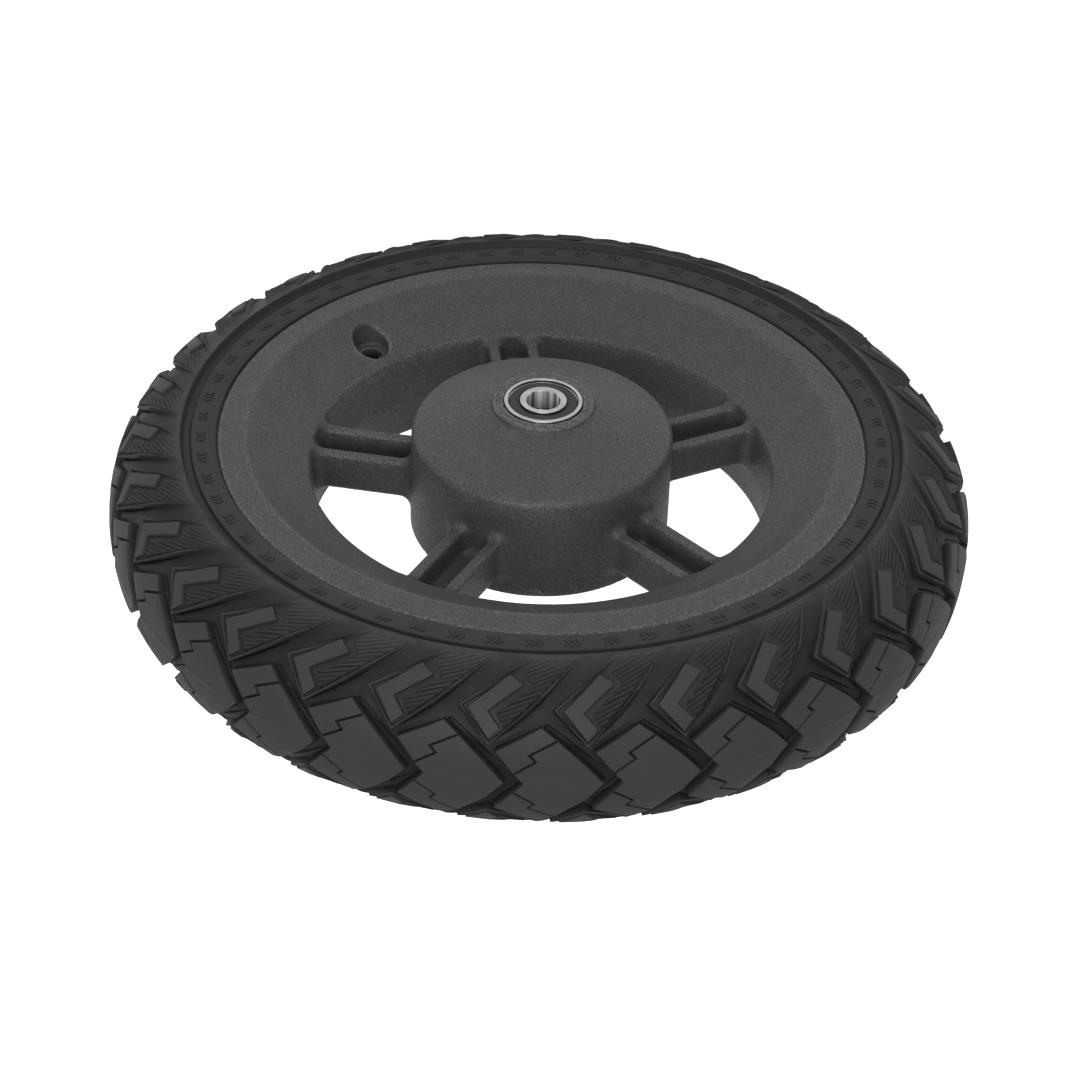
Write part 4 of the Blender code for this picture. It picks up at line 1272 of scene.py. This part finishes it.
def spindle():
    """Hollow spindle with two torque flats, a keyway and a slot that the lead runs in."""
    made = welded("hollow_spindle", turned(spindle_corners(), RING_STEPS), "spindle", "stator")
    far = COLLAR_R + 2.0
    below = SPINDLE_END - 2.0
    flat_end = SPINDLE_END + FLAT_LENGTH
    key_low, key_high = KEY_Z
    tools = [
        box_shape((-CABLE_SLOT_HALF, CABLE_SLOT_FLOOR, below), (CABLE_SLOT_HALF, far, -0.1)),
        box_shape((-KEY_HALF, -far, key_low), (KEY_HALF, -KEY_FLOOR, key_high)),
        box_shape((TORQUE_FLAT, -far, below), (far, far, flat_end)),
        box_shape((-far, -far, below), (-TORQUE_FLAT, far, flat_end)),
    ]
    carved(made, tools)


def cover_corners():
    """Section of the side cover: rear bearing's housing, dished web, screwed flange and spigot."""
    seat_r = REAR_OUTER + 0.2
    lip = REAR_FACE - 0.3
    seat = REAR_INSIDE + 0.4
    outside = [
        (COVER_LIP_R, COVER_END, 0.5), (19.2, COVER_END, 1.0), (19.7, COVER_END + 3.4, 1.5),
        (21.5, COVER_END + 4.6, 1.5), (35.0, -11.1, 6.0), (37.6, -9.0, 0.4), (39.0, -9.0, 0.3),
        (39.3, DRUM_BOTTOM, 0.2), (COVER_R, DRUM_BOTTOM, 0.6),
    ]
    inside = [
        (COVER_R, FLANGE_INSIDE, 0.2), (FLANGE_R, FLANGE_INSIDE, 0.0), (FLANGE_R, -4.6, 0.2),
        (SPIGOT_R, -4.6, 0.1), (SPIGOT_R, COVER_INSIDE, 0.1), (36.4, COVER_INSIDE, 0.3), (35.4, -5.6, 2.0),
        (22.0, -15.6, 2.0), (seat_r + 1.5, seat, 0.4), (seat_r, seat, 0.3), (seat_r, lip, 0.0),
        (COVER_LIP_R, lip, 0.2),
    ]
    return outside + inside


def side_cover():
    made = welded("side_cover_dish", turned(cover_corners(), FLANGE_STEPS), "side_cover")
    head, shank = SCREW_HEAD_R + 0.25, SCREW_R + 0.3
    floor_z = DRUM_BOTTOM + SCREW_SINK
    sizes = [
        (head + 0.6, DRUM_BOTTOM - 0.4), (head, DRUM_BOTTOM + 0.2), (head, floor_z), (shank, floor_z),
        (shank, -2.0),
    ]
    carved(made, [stepped_rod(sizes, at) for at in screw_places()])


def hexagon(apothem, angle):
    return apothem / cos((angle + pi / 6) % (pi / 3) - pi / 6)


def screw(index, at):
    """Cap screw with a hexagon socket in its head, which faces the cable side."""
    head = DRUM_BOTTOM - 0.1
    under = head + 1.3
    rows = [
        (None, head + 0.9, 0.05), (None, head + 0.9, SOCKET_HALF), (None, head + 0.12, SOCKET_HALF),
        (None, head, SOCKET_HALF + 0.1), (1.62, head, 0), (1.92, head + 0.1, 0),
        (SCREW_HEAD_R, head + 0.4, 0), (SCREW_HEAD_R, under, 0), (SCREW_R, under, 0),
        (SCREW_R, SCREW_END, 0), (0.8, SCREW_END + 0.4, 0), (0.05, SCREW_END + 0.4, 0),
    ]
    loops = []
    for radius, z, apothem in rows:
        angles = [k * tau / 48 for k in range(48)]
        ring = [polar(radius or hexagon(apothem, angle), angle) for angle in angles]
        loops.append([(at[0] + x, at[1] + y, z) for x, y in ring])
    welded(f"screw_{index}", lofted(loops), f"cover_screw_{index}", sharp=30)


def lead_path():
    """Middle line of the flat lead in (y, z): along the spindle's slot, round a bend and out to the plug."""
    low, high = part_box("cable_plug")
    plug_z = -(low.y + high.y) / 2 / MM
    bend_z = plug_z + CABLE_BEND_R
    path = [(CABLE_Y, CABLE_START_Z + (bend_z - CABLE_START_Z) * i / 6) for i in range(6)]
    for i in range(17):
        angle = i * pi / 32
        path.append((CABLE_Y + CABLE_BEND_R * (1 - cos(angle)), bend_z - CABLE_BEND_R * sin(angle)))
    end = -high.z / MM
    start = path[-1][0]
    return path + [(start + (end - start) * i / 8, plug_z) for i in range(1, 9)]


def lead_section():
    """Three round conductors under one sheath, as (across, thick) points."""
    upper = []
    for i in range(25):
        x = -CABLE_HALF_WIDTH * cos(pi * i / 24)
        lobes = [CABLE_HALF_THICK**2 - (x - middle) ** 2 for middle in CONDUCTORS]
        upper.append((x, sqrt(max(max(lobes), 0.0))))
    return upper + [(x, -y) for x, y in reversed(upper[1:-1])]


def motor_lead():
    path = [Vector(p) for p in lead_path()]
    loops = []
    for index, point in enumerate(path):
        before = path[max(index - 1, 0)]
        after = path[min(index + 1, len(path) - 1)]
        along = (after - before).normalized()
        side = Vector((-along.y, along.x))
        loops.append([(x, *(point + side * off)) for x, off in lead_section()])
    welded("flat_lead", lofted(loops), "motor_cable", "stator", 50)


def oblong(half_x, half_z, fillet, y, middle_z):
    """A rounded rectangle square to the plug's length."""
    loop = []
    for sx, sz, first in ((1, 1, 0.0), (-1, 1, pi / 2), (-1, -1, pi), (1, -1, 3 * pi / 2)):
        for k in range(7):
            angle = first + k * pi / 12
            x = sx * (half_x - fillet) + fillet * cos(angle)
            z = sz * (half_z - fillet) + fillet * sin(angle)
            loop.append((x, y, middle_z + z))
    return loop


def plug_loops(low, high, half_x, half_z, middle_z):
    """Sleeve from the lead's end, over the grip grooves and the rim, and down into the socket."""
    def row(y, by):
        return oblong(half_x - by, half_z - by, max(PLUG_FILLET - by * 0.5, 0.5), y, middle_z)

    loops = [row(low, 1.3), row(low + 0.35, 0.6), row(low + 1.0, 0.1), row(low + 1.6, 0.0)]
    groove = low + 3.4
    for _ in range(GRIP_GROOVES):
        loops += [row(groove, 0.0), row(groove + 0.3, 0.45), row(groove + 1.0, 0.45), row(groove + 1.3, 0.0)]
        groove += GRIP_PITCH
    collar = high - 5.5
    loops += [row(collar, 0.0), row(collar + 0.15, 0.35), row(collar + 0.75, 0.35), row(collar + 0.9, 0.0)]
    loops += [row(high - 0.5, 0.0), row(high - 0.12, 0.14), row(high, 0.5)]
    loops += [row(high, PLUG_WALL - 0.25), row(high - 0.3, PLUG_WALL), row(high - SOCKET_DEPTH, PLUG_WALL)]
    return loops


def plug():
    """Overmoulded plug with a socket at its end, and the contacts in it."""
    low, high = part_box("cable_plug")
    half_x = high.x / MM
    half_z = (high.y - low.y) / 2 / MM
    middle_z = -(low.y + high.y) / 2 / MM
    near, far = -high.z / MM, -low.z / MM
    welded("lead_plug", lofted(plug_loops(near, far, half_x, half_z, middle_z)), "cable_plug", "stator", 40)
    ends = [(PIN_R, far - SOCKET_DEPTH - 0.2), (PIN_R, far - 2.6), (0.25, far - 2.2)]
    shapes = [lofted([pin_loop(r, y, x, middle_z + z) for r, y in ends]) for x, z in PIN_PLACES]
    welded("plug_pins", merged(shapes), None, "stator", 40, "nickel_plate")


def pin_loop(radius, y, x, z):
    return [(x + radius * cos(a * tau / 16), y, z + radius * sin(a * tau / 16)) for a in range(16)]


# ---------------------------------------------------------------- stage


def area_light(name, place, size, power):
    """A round lamp that looks at the middle of the wheel."""
    lamp = bpy.data.lights.new(name, "AREA")
    lamp.shape = "DISK"
    lamp.size = size
    lamp.energy = power
    made = placed(name, lamp)
    made.location = place
    made.rotation_euler = (-Vector(place)).to_track_quat("-Z", "Y").to_euler()


SKY_LOW = 0.62                # light from all round
SKY_HIGH = 0.02               # further light from the side that the spoked face looks to
FLOOR_GLOW = 0.8              # keeps the floor white under the wheel to the camera, as in the photo
FLOOR_LIGHT = 0.1             # what that adds to the light on the wheel
FLOOR_SIDE = 12.0
LAMPS = {                     # place, size and power in watts
    "key": ((0.3, -0.6, 1.3), 0.7, 7),
    "spark": ((-0.2, -0.95, 0.75), 0.45, 2.6),
}


def sky():
    """White to the camera; as a light, brightest from the spoked side, like a large overhead softbox."""
    world = bpy.data.worlds.new("studio")
    bpy.context.scene.world = world
    n = Nodes(world, "Background", "Generated")
    upwards = n.add("ShaderNodeSeparateXYZ", {0: n.where}).outputs["Y"]
    light = n.range(upwards, 0.0, -1.0, SKY_LOW, SKY_LOW + SKY_HIGH)
    seen = n.add("ShaderNodeLightPath").outputs["Is Camera Ray"]
    n.plug(n.shader.inputs["Color"], (1.0, 1.0, 1.0))
    n.plug(n.shader.inputs["Strength"], n.add("ShaderNodeMix", {0: seen, 2: light, 3: 1.0}).outputs[0])


def floor():
    n = material("floor")
    n.plug(n.shader.inputs["Emission Color"], (1.0, 1.0, 1.0))
    seen = n.add("ShaderNodeLightPath").outputs["Is Camera Ray"]
    n.plug(n.shader.inputs["Emission Strength"], n.range(seen, 0.0, 1.0, FLOOR_LIGHT, FLOOR_GLOW))
    finish = n.surface((0.9, 0.9, 0.9), 0.9, 0.0, 0.1)
    mesh = bpy.data.meshes.new("floor")
    side, level = FLOOR_SIDE, -TYRE_R * MM
    corners = [(-side, -side, level), (side, -side, level), (side, side, level), (-side, side, level)]
    mesh.from_pydata(corners, [], [(0, 1, 2, 3)])
    mesh.materials.append(finish)
    placed("floor", mesh)


def stage():
    sky()
    floor()
    for name, settings in LAMPS.items():
        area_light(name, *settings)
    bpy.context.scene.view_settings.view_transform = "Standard"


CAMERA_ELEVATION = radians(34.8)     # above the wheel's own plane
CAMERA_DISTANCE = 1.044
CAMERA_ROLL = radians(2.17)
CAMERA_LENS = 97.0
CAMERA_SHIFT = (-0.002, -0.100)


def camera():
    """Looks at the middle of the rim's spoked edge, from the wheel's upper front."""
    target = Vector((0.0, -EDGE_Z * MM, 0.0))
    back = Vector((0.0, -sin(CAMERA_ELEVATION), cos(CAMERA_ELEVATION)))
    right = Vector((-1.0, 0.0, 0.0))
    up = back.cross(right)
    lens = bpy.data.cameras.new("camera")
    lens.lens = CAMERA_LENS
    lens.shift_x, lens.shift_y = CAMERA_SHIFT
    made = placed("camera", lens)
    turn = Matrix((right, up, back)).transposed().to_4x4()
    made.matrix_world = (
        Matrix.Translation(target + back * CAMERA_DISTANCE) @ turn @ Matrix.Rotation(CAMERA_ROLL, 4, "Z")
    )
    bpy.context.scene.camera = made


finish_cad_nodes()
wheel_casting()
tyre()
bead_marks()
valve()
bearing("front", FRONT_BORE)
bearing("rear", REAR_BORE)
spindle()
side_cover()
for number, middle in enumerate(screw_places(), 1):
    screw(number, middle)
motor_lead()
plug()
stage()
camera()
